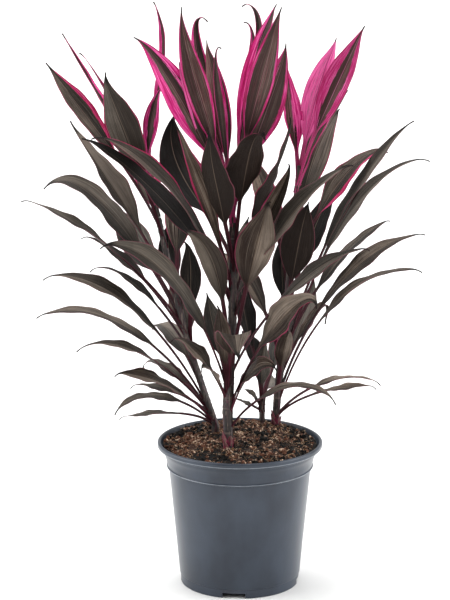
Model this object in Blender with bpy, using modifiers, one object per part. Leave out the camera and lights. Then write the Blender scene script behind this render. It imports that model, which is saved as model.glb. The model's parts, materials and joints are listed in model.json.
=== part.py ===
"""A ti plant of four leafy shoots in a plastic nursery pot, in metres, with +Z up.

The pot's axis is the Z axis and its base rests on the plane z = 0. The plant is seen from -Y in its
front view. Each shoot stands in a hole of its own in the soil and carries its leaves in a rising
spiral; the three tall ones end in a crown of young leaves, which is a piece of its own.
"""

import math
from dataclasses import dataclass

import bmesh
import bpy
import numpy as np

COLLECTION = "ti_plant"
GAP = 0.0003

# Pot
POT_HEIGHT = 0.186
LIP_RADIUS = 0.105
LIP_DEPTH = 0.0065
MOUTH_RADIUS = 0.1005
COLLAR_TOP_RADIUS = 0.100
COLLAR_WAIST = (0.0940, 0.1630)
RIDGE_RADIUS = 0.0925
RIDGE_HEIGHT = 0.1545
BODY_TOP = (0.0905, 0.1515)
BODY_FOOT = (0.0770, 0.0127)
FOOT_RADIUS = 0.0758
FOOT_RING_WIDTH = 0.0050
WALL = 0.0022
FLOOR_UNDERSIDE = 0.0060
FLOOR_TOP = 0.0085
PAD_RADIUS = 0.0150
SOFT_EDGE = 0.0012
TURN_STEPS = 32
NOTCH_SIZE = (0.029, 0.024, 0.018)
NOTCH_TOP = 0.00675
NOTCH_FIRST_ANGLE = -96.0
NOTCH_COUNT = 4
DRAIN_RADIUS = 0.0060
DRAIN_RING_RADIUS = 0.0440
DRAIN_COUNT = 8
CUTTER_SIDES = 14
CUTTER_REACH = 0.003

# Soil
SOIL_EDGE_HEIGHT = 0.1815
SOIL_DOME = 0.0060
SOIL_RINGS = 6
HEAP_HEIGHT = 0.0060
HEAP_PLACE = (0.020, 0.055)
HEAP_SPREAD = 0.035
LUMP_HEIGHT = 0.0042
LUMP_CLEAR_RADIUS = 0.014
LUMP_FADE = 0.016
EDGE_CALM = 8
HOLE_CUTTER_TOP = 0.206

# Soil lumps: share of the height, then two crossing waves as (turns along x, turns along y, start)
LUMP_WAVES = (
    (0.45, (71.0, 0.0, 1.3), (0.0, 63.0, 0.4)),
    (0.35, (160.0, -87.0, 2.0), (55.0, 142.0, 1.57)),
    (0.20, (310.0, 190.0, 0.0), (-120.0, 270.0, 1.0)),
)

# Shoots: height, x, y and stem radius from the soil up
CENTRE_STEM = (
    (0.120, -0.0150, -0.0390, 0.0055),
    (0.200, -0.0150, -0.0390, 0.0055),
    (0.235, -0.0160, -0.0380, 0.0070),
    (0.290, -0.0130, -0.0370, 0.0066),
    (0.350, -0.0100, -0.0360, 0.0056),
    (0.420, -0.0090, -0.0350, 0.0050),
    (0.455, -0.0095, -0.0345, 0.0046),
)
LEFT_STEM = (
    (0.120, -0.0310, 0.0230, 0.0048),
    (0.198, -0.0310, 0.0230, 0.0048),
    (0.225, -0.0400, 0.0230, 0.0048),
    (0.300, -0.0640, 0.0240, 0.0042),
    (0.380, -0.0840, 0.0250, 0.0040),
    (0.470, -0.1030, 0.0260, 0.0038),
)
RIGHT_STEM = (
    (0.120, 0.0470, 0.0600, 0.0048),
    (0.200, 0.0470, 0.0600, 0.0048),
    (0.235, 0.0490, 0.0590, 0.0052),
    (0.300, 0.0560, 0.0580, 0.0046),
    (0.370, 0.0620, 0.0570, 0.0043),
    (0.480, 0.0705, 0.0555, 0.0041),
)
BACK_STEM = (
    (0.120, 0.0290, 0.0590, 0.0036),
    (0.200, 0.0290, 0.0590, 0.0036),
    (0.225, 0.0285, 0.0610, 0.0030),
)
CROWN_STUB_LENGTH = 0.050
CROWN_STUB_TAPER = 0.55
STEM_STEP = 0.015

# Leaf form
STALK_WIDTH = 0.0055
SHEATH_EXTRA_WIDTH = 0.0030
STALK_THICKNESS = 0.0020
BLADE_THICKNESS = 0.0008
LEAF_MIN_WIDTH = 0.0010
STALK_FOLD = 25.0
BLADE_PEAK = 0.42
BLADE_TAPER = 1.38
WAVE_HEIGHT = 0.0020
WAVE_TURNS = 9.0
WAVE_LAG = 2.1
THINNING_START = 0.3
THINNING_SPAN = 0.12
ROLL_START = 0.3
ROLL_SPAN = 0.9
START_LEAN = 0.7
START_PULL = 0.42
MIDDLE_SHARES = (0.3, 0.68)
TANGENT_STEP = 0.012
STALK_STATIONS = (0.0, 0.5, 1.0)
BLADE_STATIONS = (0.10, 0.26, 0.44, 0.63, 0.83, 1.0)
ROUTE_POINTS = 60
GOLDEN_TURN = 2.4


@dataclass(frozen=True)
class Leaf:
    """One leaf, in the upright plane through its foot on the stem.

    foot: height of its foot on the stem's axis.
    heading: compass direction of that plane in degrees, from +X towards +Y.
    middle, tip: reach from the foot and height above the ground.
    width: widest span of the blade.
    roll: turn of the blade about its own midrib, in degrees.
    fold: rise of each half of the blade from the midrib, in degrees.
    stalk: share of the length that is stalk.
    """

    foot: float
    heading: float
    middle: tuple
    tip: tuple
    width: float
    roll: float
    fold: float
    stalk: float


LEFT_LEAVES = (
    Leaf(0.430, -140, (0.070, 0.600), (0.095, 0.660), 0.046, 30, 8, 0.40),
    Leaf(0.445, 165, (0.115, 0.615), (0.150, 0.660), 0.030, -40, 10, 0.46),
    Leaf(0.355, -170, (0.105, 0.545), (0.135, 0.595), 0.044, -32, 22, 0.38),
    Leaf(0.320, 172, (0.125, 0.500), (0.180, 0.500), 0.044, -22, 10, 0.42),
    Leaf(0.320, -176, (0.140, 0.465), (0.205, 0.495), 0.030, -4, 10, 0.45),
    Leaf(0.325, 128, (0.120, 0.435), (0.155, 0.465), 0.042, -50, 12, 0.42),
    Leaf(0.320, 100, (0.135, 0.400), (0.100, 0.445), 0.030, -10, 10, 0.42),
    Leaf(0.305, 176, (0.090, 0.420), (0.135, 0.445), 0.028, -8, 10, 0.42),
    Leaf(0.285, 60, (-0.005, 0.405), (-0.020, 0.445), 0.028, 10, 10, 0.42),
    Leaf(0.205, -178, (0.130, 0.375), (0.215, 0.395), 0.036, -14, 10, 0.44),
    Leaf(0.285, 168, (0.090, 0.390), (0.135, 0.395), 0.022, 0, 10, 0.42),
    Leaf(0.200, 174, (0.125, 0.330), (0.230, 0.335), 0.032, -6, 10, 0.44),
    Leaf(0.205, -168, (0.120, 0.310), (0.175, 0.305), 0.028, -4, 10, 0.42),
    Leaf(0.210, 150, (0.080, 0.270), (0.105, 0.260), 0.024, -5, 10, 0.42),
    Leaf(0.195, -160, (0.080, 0.265), (0.135, 0.280), 0.036, -16, 10, 0.38),
    Leaf(0.205, 158, (0.070, 0.240), (0.115, 0.240), 0.022, -4, 10, 0.40),
    Leaf(0.195, -172, (0.085, 0.240), (0.130, 0.220), 0.028, -6, 10, 0.38),
    Leaf(0.195, 172, (0.085, 0.210), (0.125, 0.205), 0.022, 2, 10, 0.38),
    Leaf(0.260, 105, (0.080, 0.320), (0.150, 0.375), 0.034, 0, 10, 0.38),
    Leaf(0.230, 115, (0.085, 0.285), (0.185, 0.285), 0.034, 0, 10, 0.38),
    Leaf(0.350, 92, (0.075, 0.455), (0.135, 0.500), 0.036, 0, 10, 0.38),
    Leaf(0.395, 118, (0.080, 0.525), (0.125, 0.580), 0.036, 0, 10, 0.38),
)
LEFT_CROWN = (
    Leaf(0.485, 142, (0.110, 0.635), (0.150, 0.690), 0.016, 10, 25, 0.32),
    Leaf(0.490, 168, (0.070, 0.640), (0.095, 0.675), 0.012, 10, 25, 0.32),
    Leaf(0.520, 60, (0.035, 0.675), (0.010, 0.740), 0.015, -20, 20, 0.32),
    Leaf(0.520, 40, (0.005, 0.595), (0.020, 0.635), 0.020, 40, 20, 0.28),
)
CENTRE_LEAVES = (
    Leaf(0.360, 174, (0.110, 0.525), (0.185, 0.580), 0.046, -18, 10, 0.30),
    Leaf(0.365, -166, (0.105, 0.550), (0.175, 0.590), 0.038, -26, 12, 0.28),
    Leaf(0.415, 125, (0.120, 0.530), (0.130, 0.595), 0.052, -30, 10, 0.36),
    Leaf(0.375, -135, (0.070, 0.550), (0.095, 0.615), 0.026, 20, 34, 0.30),
    Leaf(0.410, -112, (0.065, 0.550), (0.070, 0.600), 0.042, 0, 10, 0.36),
    Leaf(0.375, -60, (0.040, 0.570), (0.080, 0.590), 0.054, 6, 10, 0.52),
    Leaf(0.250, -160, (0.095, 0.430), (0.165, 0.460), 0.048, -36, 12, 0.33),
    Leaf(0.270, -128, (0.035, 0.435), (0.090, 0.480), 0.032, 30, 10, 0.46),
    Leaf(0.235, -140, (0.025, 0.290), (0.045, 0.300), 0.030, -20, 10, 0.46),
    Leaf(0.250, -85, (0.070, 0.350), (0.130, 0.335), 0.044, 0, 8, 0.38),
    Leaf(0.215, -30, (0.040, 0.295), (0.070, 0.300), 0.042, 30, 10, 0.38),
    Leaf(0.225, -14, (0.085, 0.375), (0.115, 0.375), 0.048, 38, 10, 0.48),
    Leaf(0.250, -40, (0.050, 0.470), (0.070, 0.510), 0.048, -40, 8, 0.56),
    Leaf(0.235, -100, (0.035, 0.340), (0.060, 0.385), 0.022, 0, 10, 0.42),
    Leaf(0.250, 130, (0.030, 0.345), (0.040, 0.380), 0.028, -20, 10, 0.42),
    Leaf(0.240, 160, (0.050, 0.315), (0.075, 0.320), 0.028, -6, 10, 0.42),
    Leaf(0.270, 4, (0.110, 0.415), (0.175, 0.440), 0.032, 14, 10, 0.44),
    Leaf(0.365, 20, (0.065, 0.515), (0.075, 0.545), 0.024, 50, 12, 0.42),
    Leaf(0.390, 5, (0.060, 0.555), (0.070, 0.605), 0.052, -20, 10, 0.34),
    Leaf(0.340, -20, (0.095, 0.510), (0.155, 0.560), 0.042, 30, 12, 0.34),
    Leaf(0.205, -6, (0.085, 0.270), (0.135, 0.250), 0.026, 6, 10, 0.36),
    Leaf(0.315, 80, (0.065, 0.400), (0.120, 0.460), 0.036, 0, 10, 0.38),
)
CENTRE_CROWN = (
    Leaf(0.470, 156, (0.080, 0.640), (0.130, 0.700), 0.042, -50, 14, 0.34),
    Leaf(0.470, -122, (0.090, 0.670), (0.115, 0.750), 0.030, 32, 14, 0.38),
    Leaf(0.475, 120, (0.090, 0.685), (0.065, 0.720), 0.024, -15, 20, 0.30),
    Leaf(0.475, 115, (0.050, 0.640), (0.085, 0.690), 0.028, -20, 20, 0.34),
    Leaf(0.475, 125, (0.035, 0.655), (0.030, 0.690), 0.016, 0, 20, 0.34),
    Leaf(0.470, 150, (0.065, 0.635), (0.075, 0.670), 0.018, -50, 20, 0.30),
    Leaf(0.480, 70, (0.100, 0.690), (0.040, 0.740), 0.014, 0, 20, 0.30),
    Leaf(0.475, 60, (0.050, 0.670), (0.035, 0.720), 0.020, 0, 20, 0.30),
    Leaf(0.475, 50, (0.050, 0.680), (0.090, 0.735), 0.030, 36, 20, 0.34),
    Leaf(0.475, -60, (0.075, 0.675), (0.110, 0.750), 0.033, -34, 14, 0.38),
    Leaf(0.470, -30, (0.055, 0.640), (0.075, 0.700), 0.042, -60, 12, 0.38),
)
RIGHT_LEAVES = (
    Leaf(0.400, 50, (0.055, 0.545), (0.105, 0.590), 0.036, 38, 10, 0.38),
    Leaf(0.380, 20, (0.090, 0.525), (0.135, 0.540), 0.034, 22, 12, 0.42),
    Leaf(0.260, 8, (0.100, 0.500), (0.170, 0.585), 0.030, 14, 12, 0.46),
    Leaf(0.240, -8, (0.105, 0.490), (0.190, 0.545), 0.036, 16, 10, 0.42),
    Leaf(0.320, 40, (0.065, 0.465), (0.090, 0.490), 0.034, 20, 10, 0.44),
    Leaf(0.290, -50, (0.030, 0.440), (0.050, 0.490), 0.044, -42, 10, 0.46),
    Leaf(0.295, 90, (0.045, 0.385), (0.080, 0.425), 0.028, 0, 10, 0.42),
    Leaf(0.270, 28, (0.100, 0.410), (0.165, 0.445), 0.028, 0, 10, 0.44),
    Leaf(0.215, 10, (0.105, 0.395), (0.195, 0.435), 0.034, 12, 10, 0.44),
    Leaf(0.205, -8, (0.095, 0.370), (0.185, 0.400), 0.034, 6, 10, 0.44),
    Leaf(0.240, 30, (0.065, 0.340), (0.070, 0.315), 0.018, 0, 10, 0.42),
    Leaf(0.220, -75, (0.035, 0.305), (0.060, 0.330), 0.024, 0, 10, 0.42),
    Leaf(0.195, 14, (0.090, 0.245), (0.140, 0.235), 0.022, -2, 10, 0.40),
    Leaf(0.195, -8, (0.080, 0.240), (0.130, 0.245), 0.024, 2, 10, 0.40),
    Leaf(0.240, 70, (0.080, 0.295), (0.150, 0.355), 0.034, 0, 10, 0.38),
    Leaf(0.315, 80, (0.070, 0.420), (0.130, 0.475), 0.036, 0, 10, 0.38),
    Leaf(0.360, 112, (0.070, 0.475), (0.125, 0.525), 0.036, 0, 10, 0.38),
    Leaf(0.265, 125, (0.070, 0.365), (0.140, 0.395), 0.034, 0, 10, 0.38),
)
RIGHT_CROWN = (
    Leaf(0.495, 40, (0.040, 0.635), (0.070, 0.685), 0.034, 42, 14, 0.32),
    Leaf(0.495, -18, (0.055, 0.645), (0.085, 0.710), 0.036, -64, 14, 0.36),
    Leaf(0.505, 115, (0.020, 0.610), (0.035, 0.655), 0.026, 0, 14, 0.28),
    Leaf(0.490, 8, (0.040, 0.580), (0.065, 0.625), 0.018, -20, 20, 0.30),
)
BACK_LEAVES = (
    Leaf(0.205, 180, (0.015, 0.215), (0.035, 0.225), 0.014, -5, 10, 0.36),
    Leaf(0.205, 165, (0.010, 0.225), (0.025, 0.235), 0.014, -5, 10, 0.36),
    Leaf(0.215, 145, (0.030, 0.350), (0.030, 0.400), 0.030, -10, 10, 0.40),
    Leaf(0.210, 60, (0.000, 0.260), (0.010, 0.300), 0.028, 0, 10, 0.36),
    Leaf(0.215, 115, (0.025, 0.280), (0.065, 0.300), 0.024, 0, 10, 0.36),
    Leaf(0.210, 75, (0.090, 0.265), (0.160, 0.320), 0.032, 0, 10, 0.36),
    Leaf(0.205, 85, (0.095, 0.215), (0.170, 0.215), 0.026, 0, 10, 0.36),
)
STEMS = (CENTRE_STEM, LEFT_STEM, RIGHT_STEM, BACK_STEM)


def clear_scene():
    """Remove every object of the scene the script is run in."""
    for thing in list(bpy.data.objects):
        bpy.data.objects.remove(thing, do_unlink=True)


def new_collection(name):
    """Make a collection under the scene's own."""
    group = bpy.data.collections.new(name)
    bpy.context.scene.collection.children.link(group)
    return group


def new_material(name, colour, roughness):
    """Make a plain material of one colour."""
    material = bpy.data.materials.new(name)
    material.use_nodes = True
    shader = material.node_tree.nodes["Principled BSDF"]
    shader.inputs["Base Color"].default_value = (*colour, 1.0)
    shader.inputs["Roughness"].default_value = roughness
    shader.inputs["Metallic"].default_value = 0.0
    return material


def add_object(name, mesh, group):
    """Place a mesh in the scene as an object of the given collection."""
    thing = bpy.data.objects.new(name, mesh)
    group.objects.link(thing)
    return thing


def mesh_from(name, points, faces):
    """Make a mesh whose faces all point outwards."""
    shape = bmesh.new()
    corners = [shape.verts.new(point) for point in points]
    for face in faces:
        shape.faces.new([corners[index] for index in face])
    bmesh.ops.recalc_face_normals(shape, faces=shape.faces[:])
    mesh = bpy.data.meshes.new(name)
    shape.to_mesh(mesh)
    shape.free()
    return mesh


def frozen_mesh(thing):
    """Return the object's mesh with its modifiers, or its curve, worked out."""
    graph = bpy.context.evaluated_depsgraph_get()
    return bpy.data.meshes.new_from_object(thing.evaluated_get(graph))


def freeze(thing):
    """Replace an object's mesh with its modified one and drop the modifiers."""
    mesh = frozen_mesh(thing)
    thing.modifiers.clear()
    thing.data = mesh


def turned(name, profile, steps, group):
    """Turn a profile of (radius, height) points, outer side downwards, about the Z axis."""
    points = [(radius, 0.0, height) for radius, height in profile]
    mesh = bpy.data.meshes.new(name)
    mesh.from_pydata(points, [(i, i + 1) for i in range(len(points) - 1)], [])
    thing = add_object(name, mesh, group)
    screw = thing.modifiers.new("turn", "SCREW")
    screw.steps = steps
    screw.render_steps = steps
    screw.use_merge_vertices = True
    screw.merge_threshold = 0.00001
    screw.use_smooth_shade = False
    return thing


def tube(name, rows, group, sides_resolution=2):
    """Make a closed round stem through rows of (height, x, y, radius)."""
    curve = bpy.data.curves.new(name, "CURVE")
    curve.dimensions = "3D"
    curve.bevel_depth = 1.0
    curve.bevel_resolution = sides_resolution
    curve.use_fill_caps = True
    spline = curve.splines.new("POLY")
    spline.points.add(len(rows) - 1)
    for point, (height, x, y, radius) in zip(spline.points, rows):
        point.co = (x, y, height, 1.0)
        point.radius = radius
    guide = add_object(name + "_route", curve, group)
    mesh = frozen_mesh(guide)
    shape = bmesh.new()
    shape.from_mesh(mesh)
    bmesh.ops.remove_doubles(shape, verts=shape.verts[:], dist=0.00001)
    bmesh.ops.triangulate(shape, faces=shape.faces[:])
    bmesh.ops.recalc_face_normals(shape, faces=shape.faces[:])
    shape.to_mesh(mesh)
    shape.free()
    bpy.data.objects.remove(guide, do_unlink=True)
    return add_object(name, mesh, group)


def cut(thing, cutters):
    """Cut every object of a collection out of the given one."""
    modifier = thing.modifiers.new("cut", "BOOLEAN")
    modifier.operation = "DIFFERENCE"
    modifier.operand_type = "COLLECTION"
    modifier.collection = cutters
    modifier.solver = "EXACT"
    for cutter in cutters.objects:
        cutter.hide_render = True
        cutter.display_type = "WIRE"


def smooth(thing, angle):
    """Shade a round piece smooth, with edges sharper than the angle kept."""
    thing.data.shade_smooth()
    thing.data.set_sharp_from_angle(angle=math.radians(angle))


def pot_profile():
    """Return the pot's section, from the floor's middle up the inside and down the outside."""
    body_top_radius, body_top = BODY_TOP
    body_foot_radius, body_foot = BODY_FOOT
    waist_radius, waist = COLLAR_WAIST
    lip_bottom = POT_HEIGHT - LIP_DEPTH
    return (
        (0.0, FLOOR_TOP),
        (body_foot_radius - WALL, FLOOR_TOP),
        (body_top_radius - WALL, body_top),
        (waist_radius - WALL, waist),
        (COLLAR_TOP_RADIUS - WALL, lip_bottom),
        (MOUTH_RADIUS, POT_HEIGHT - SOFT_EDGE),
        (MOUTH_RADIUS + SOFT_EDGE, POT_HEIGHT),
        (LIP_RADIUS - SOFT_EDGE, POT_HEIGHT),
        (LIP_RADIUS, POT_HEIGHT - SOFT_EDGE),
        (LIP_RADIUS, lip_bottom + SOFT_EDGE),
        (LIP_RADIUS - SOFT_EDGE, lip_bottom),
        (COLLAR_TOP_RADIUS, lip_bottom),
        (waist_radius, waist),
        (RIDGE_RADIUS - SOFT_EDGE, RIDGE_HEIGHT + SOFT_EDGE),
        (RIDGE_RADIUS, RIDGE_HEIGHT),
        (RIDGE_RADIUS, RIDGE_HEIGHT - SOFT_EDGE),
        (body_top_radius, body_top),
        (body_foot_radius, body_foot),
        (FOOT_RADIUS, body_foot - SOFT_EDGE),
        (FOOT_RADIUS, 0.0),
        (FOOT_RADIUS - FOOT_RING_WIDTH, 0.0),
        (FOOT_RADIUS - FOOT_RING_WIDTH, FLOOR_UNDERSIDE),
        (PAD_RADIUS, FLOOR_UNDERSIDE),
        (PAD_RADIUS, 0.0),
        (0.0, 0.0),
    )


def round_cutter(name, radius, bottom, top, x, y, group):
    """Make an upright round cutter."""
    shape = bmesh.new()
    bmesh.ops.create_cone(
        shape,
        cap_ends=True,
        segments=CUTTER_SIDES,
        radius1=radius,
        radius2=radius,
        depth=top - bottom,
    )
    mesh = bpy.data.meshes.new(name)
    shape.to_mesh(mesh)
    shape.free()
    cutter = add_object(name, mesh, group)
    cutter.location = (x, y, (bottom + top) / 2)
    return cutter


def make_pot(group, material):
    """Make the pot with the notches of its foot ring and the drain holes of its floor."""
    pot = turned("pot", pot_profile(), TURN_STEPS, group)
    cutters = new_collection("pot_cutters")
    for index in range(NOTCH_COUNT):
        angle = math.radians(NOTCH_FIRST_ANGLE + 360.0 / NOTCH_COUNT * index)
        shape = bmesh.new()
        bmesh.ops.create_cube(shape, size=1.0)
        bmesh.ops.scale(shape, vec=NOTCH_SIZE, verts=shape.verts[:])
        mesh = bpy.data.meshes.new(f"notch_{index + 1}")
        shape.to_mesh(mesh)
        shape.free()
        notch = add_object(f"notch_{index + 1}", mesh, cutters)
        reach = FOOT_RADIUS - FOOT_RING_WIDTH / 2
        height = NOTCH_TOP - NOTCH_SIZE[2] / 2
        notch.location = (reach * math.cos(angle), reach * math.sin(angle), height)
        notch.rotation_euler = (0.0, 0.0, angle + math.pi / 2)
    for index in range(DRAIN_COUNT):
        angle = math.tau * (index + 0.5) / DRAIN_COUNT
        x = DRAIN_RING_RADIUS * math.cos(angle)
        y = DRAIN_RING_RADIUS * math.sin(angle)
        top = FLOOR_TOP + CUTTER_REACH
        round_cutter(f"drain_{index + 1}", DRAIN_RADIUS, -CUTTER_REACH, top, x, y, cutters)
    cut(pot, cutters)
    pot.data.materials.append(material)
    return pot


def lump(x, y):
    """Return the height of the soil's lumps over its smooth dome, between -1 and 1."""
    height = 0.0
    for share, *waves in LUMP_WAVES:
        height += share * math.prod(math.sin(a * x + b * y + start) for a, b, start in waves)
    return height


def soil_radius(height):
    """Return the soil's radius at a height, a gap inside the pot's wall."""
    wall = (BODY_FOOT, BODY_TOP, COLLAR_WAIST, (COLLAR_TOP_RADIUS, POT_HEIGHT - LIP_DEPTH))
    radius = np.interp(height, [point[1] for point in wall], [point[0] for point in wall])
    return float(radius) - WALL - GAP


def soil_height(x, y):
    """Return the height of the soil's top, which is calm round each stem and at the pot's wall."""
    share = min(math.hypot(x, y) / soil_radius(SOIL_EDGE_HEIGHT), 1.0)
    nearest = min(math.hypot(x - rows[0][1], y - rows[0][2]) for rows in STEMS)
    rise = min(max((nearest - LUMP_CLEAR_RADIUS) / LUMP_FADE, 0.0), 1.0)
    rise *= 1.0 - share ** EDGE_CALM
    away = math.hypot(x - HEAP_PLACE[0], y - HEAP_PLACE[1])
    heap = (1.0 - share ** EDGE_CALM) * math.exp(-0.5 * (away / HEAP_SPREAD) ** 2)
    smooth_top = SOIL_EDGE_HEIGHT + SOIL_DOME * (1.0 - share ** 2) + HEAP_HEIGHT * heap
    return smooth_top + LUMP_HEIGHT * rise * lump(x, y)


def make_soil(group, material):
    """Make the soil that fills the pot, with a plain hole for each stem."""
    edge_radius = soil_radius(SOIL_EDGE_HEIGHT)
    ring = [(edge_radius * (i + 1) / SOIL_RINGS, SOIL_EDGE_HEIGHT) for i in range(SOIL_RINGS)]
    bottom = FLOOR_TOP + GAP
    levels = (COLLAR_WAIST[1], BODY_TOP[1], BODY_FOOT[1], bottom)
    sides = [(soil_radius(level) - GAP, level) for level in levels]
    soil = turned("soil", ((0.0, SOIL_EDGE_HEIGHT), *ring, *sides, (0.0, bottom)), TURN_STEPS, group)
    freeze(soil)
    for vertex in soil.data.vertices:
        if vertex.co.z > SOIL_EDGE_HEIGHT - GAP:
            vertex.co.z = soil_height(vertex.co.x, vertex.co.y)
    cutters = new_collection("soil_cutters")
    for index, rows in enumerate(STEMS):
        height, x, y, radius = rows[0]
        name = f"stem_hole_{index + 1}"
        round_cutter(name, radius + 2 * GAP, height - GAP, HOLE_CUTTER_TOP, x, y, cutters)
    cut(soil, cutters)
    soil.data.materials.append(material)
    return soil


def unit(vector):
    """Return the vector at length one."""
    return vector / np.linalg.norm(vector)


def stem_point(rows, height):
    """Return the point of a stem's axis at a height, straight on past its top."""
    heights = [row[0] for row in rows]
    if height <= heights[-1]:
        x, y = (np.interp(height, heights, [row[axis] for row in rows]) for axis in (1, 2))
        return np.array([x, y, height])
    last, before = np.array(rows[-1][:3]), np.array(rows[-2][:3])
    slope = (last[1:] - before[1:]) / (last[0] - before[0])
    return np.array([*(last[1:] + slope * (height - last[0])), height])


def leaf_route(leaf, rows):
    """Return points along a leaf's midrib and the level direction it heads in."""
    heading = math.radians(leaf.heading)
    outward = np.array([math.cos(heading), math.sin(heading), 0.0])
    root = stem_point(rows, leaf.foot)
    base = root * (1.0, 1.0, 0.0)
    middle = base + outward * leaf.middle[0] + (0.0, 0.0, leaf.middle[1])
    tip = base + outward * leaf.tip[0] + (0.0, 0.0, leaf.tip[1])
    along_stem = stem_point(rows, leaf.foot + STEM_STEP) - stem_point(rows, leaf.foot - STEM_STEP)
    start = unit(unit(along_stem) + START_LEAN * unit(middle - root))
    lower, upper = np.linalg.norm(middle - root), np.linalg.norm(tip - middle)
    first = root + start * START_PULL * lower
    t = float(np.clip(lower / (lower + upper), *MIDDLE_SHARES))
    u = 1.0 - t
    second = (middle - u ** 3 * root - 3 * u * u * t * first - t ** 3 * tip) / (3 * u * t * t)
    share = np.linspace(0.0, 1.0, ROUTE_POINTS)[:, None]
    rest = 1.0 - share
    points = rest ** 3 * root + 3 * rest ** 2 * share * first + 3 * rest * share ** 2 * second
    return points + share ** 3 * tip, outward


def blade_span(t):
    """Return the blade's width at a share of its length, 1 at the widest."""
    if t <= 0.0 or t >= 1.0:
        return 0.0
    return t / BLADE_PEAK * ((1.0 - t) / (1.0 - BLADE_PEAK)) ** BLADE_TAPER


def leaf_section(leaf, share, point, tangent, outward, phase):
    """Return the six corners of a leaf's section: over the left edge, midrib and right edge, then under."""
    level_side = np.array([-outward[1], outward[0], 0.0])
    normal = unit(np.cross(tangent, level_side))
    side = unit(np.cross(normal, tangent))
    t = (share - leaf.stalk) / (1.0 - leaf.stalk)
    turned_share = (share / leaf.stalk - ROLL_START) / ROLL_SPAN
    turn = math.radians(leaf.roll) * min(max(turned_share, 0.0), 1.0)
    side, normal = (
        side * math.cos(turn) + normal * math.sin(turn),
        normal * math.cos(turn) - side * math.sin(turn),
    )
    if t > 0.0:
        width = math.hypot(STALK_WIDTH * (1.0 - t), leaf.width * blade_span(t))
        fold = math.radians(leaf.fold)
        wave = WAVE_HEIGHT * blade_span(t)
    else:
        width = STALK_WIDTH + SHEATH_EXTRA_WIDTH * max(0.0, 1.0 - 2.0 * share / leaf.stalk) ** 2
        fold = math.radians(STALK_FOLD)
        wave = 0.0
    half = max(width, LEAF_MIN_WIDTH) / 2
    thinning = min(max(t / THINNING_SPAN + THINNING_START, 0.0), 1.0)
    over = normal * (STALK_THICKNESS + (BLADE_THICKNESS - STALK_THICKNESS) * thinning) / 2
    edges = []
    for sign, lag in ((-1.0, 0.0), (1.0, WAVE_LAG)):
        lift = half * math.sin(fold) + wave * math.sin(WAVE_TURNS * t + phase + lag)
        edges.append(point + side * sign * half * math.cos(fold) + normal * lift)
    left, right = edges
    return (left + over, point + over, right + over, right - over, point - over, left - over)


def leaf_mesh(name, leaf, rows, phase):
    """Loft a leaf from its channelled stalk through its broad blade to its fine tip.

    Both faces are split into triangles along the same diagonals, so that a waved blade keeps its thickness.
    """
    points, outward = leaf_route(leaf, rows)
    lengths = np.linalg.norm(np.diff(points, axis=0), axis=1)
    travelled = np.concatenate([[0.0], np.cumsum(lengths)])
    travelled /= travelled[-1]

    def at(share):
        """Return the point of the midrib at a share of its length."""
        share = min(max(share, 0.0), 1.0)
        return np.array([np.interp(share, travelled, points[:, axis]) for axis in range(3)])

    shares = [leaf.stalk * station for station in STALK_STATIONS]
    shares += [leaf.stalk + (1.0 - leaf.stalk) * station for station in BLADE_STATIONS]
    corners = []
    for share in shares:
        tangent = unit(at(share + TANGENT_STEP) - at(share - TANGENT_STEP))
        corners.extend(leaf_section(leaf, share, at(share), tangent, outward, phase))
    faces = []
    for ring in range(len(shares) - 1):
        here, there = 6 * ring, 6 * (ring + 1)
        for corner in range(6):
            after = (corner + 1) % 6
            a, b, c, d = here + corner, there + corner, there + after, here + after
            faces += [(a, b, d), (b, c, d)] if corner in (3, 4) else [(a, b, c), (a, c, d)]
    end_faces = ((0, 1, 5), (1, 4, 5), (1, 2, 4), (2, 3, 4))
    for first in (0, 6 * (len(shares) - 1)):
        faces += [tuple(first + index for index in face) for face in end_faces]
    return mesh_from(name, corners, faces)


def keep_one_body(mesh):
    """Keep a mesh's largest body, which fills sealed hollows and drops loose scraps."""
    shape = bmesh.new()
    shape.from_mesh(mesh)
    bmesh.ops.triangulate(shape, faces=shape.faces[:])
    unseen = set(shape.verts)
    bodies = []
    while unseen:
        body = {unseen.pop()}
        edge_of_search = list(body)
        while edge_of_search:
            vertex = edge_of_search.pop()
            for link in vertex.link_edges:
                other = link.other_vert(vertex)
                if other in unseen:
                    unseen.remove(other)
                    body.add(other)
                    edge_of_search.append(other)
        bodies.append(body)
    bodies.sort(key=len)
    for body in bodies[:-1]:
        bmesh.ops.delete(shape, geom=list(body), context="VERTS")
    shape.to_mesh(mesh)
    shape.free()


def make_shoot(name, rows, leaves, group, material):
    """Make a stem with its leaves, joined in one body."""
    shoot = tube(name, rows, group)
    joined = new_collection(name + "_leaves")
    for index, leaf in enumerate(leaves):
        mesh = leaf_mesh(f"{name}_leaf_{index + 1}", leaf, rows, GOLDEN_TURN * index)
        add_object(mesh.name, mesh, joined)
    modifier = shoot.modifiers.new("join", "BOOLEAN")
    modifier.operation = "UNION"
    modifier.operand_type = "COLLECTION"
    modifier.collection = joined
    modifier.solver = "MANIFOLD"
    freeze(shoot)
    for leaf in list(joined.objects):
        bpy.data.objects.remove(leaf, do_unlink=True)
    bpy.data.collections.remove(joined)
    keep_one_body(shoot.data)
    shoot.data.materials.clear()
    shoot.data.materials.append(material)
    return shoot


def crown_stub(rows):
    """Return the rows of a crown's short growing stem, which sits on the top of the shoot's stem."""
    height, x, y, radius = rows[-1]
    bottom = height + GAP
    top = bottom + CROWN_STUB_LENGTH
    tip = stem_point(rows, top)
    foot = stem_point(rows, bottom)
    return ((bottom, foot[0], foot[1], radius), (top, tip[0], tip[1], radius * CROWN_STUB_TAPER))


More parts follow.
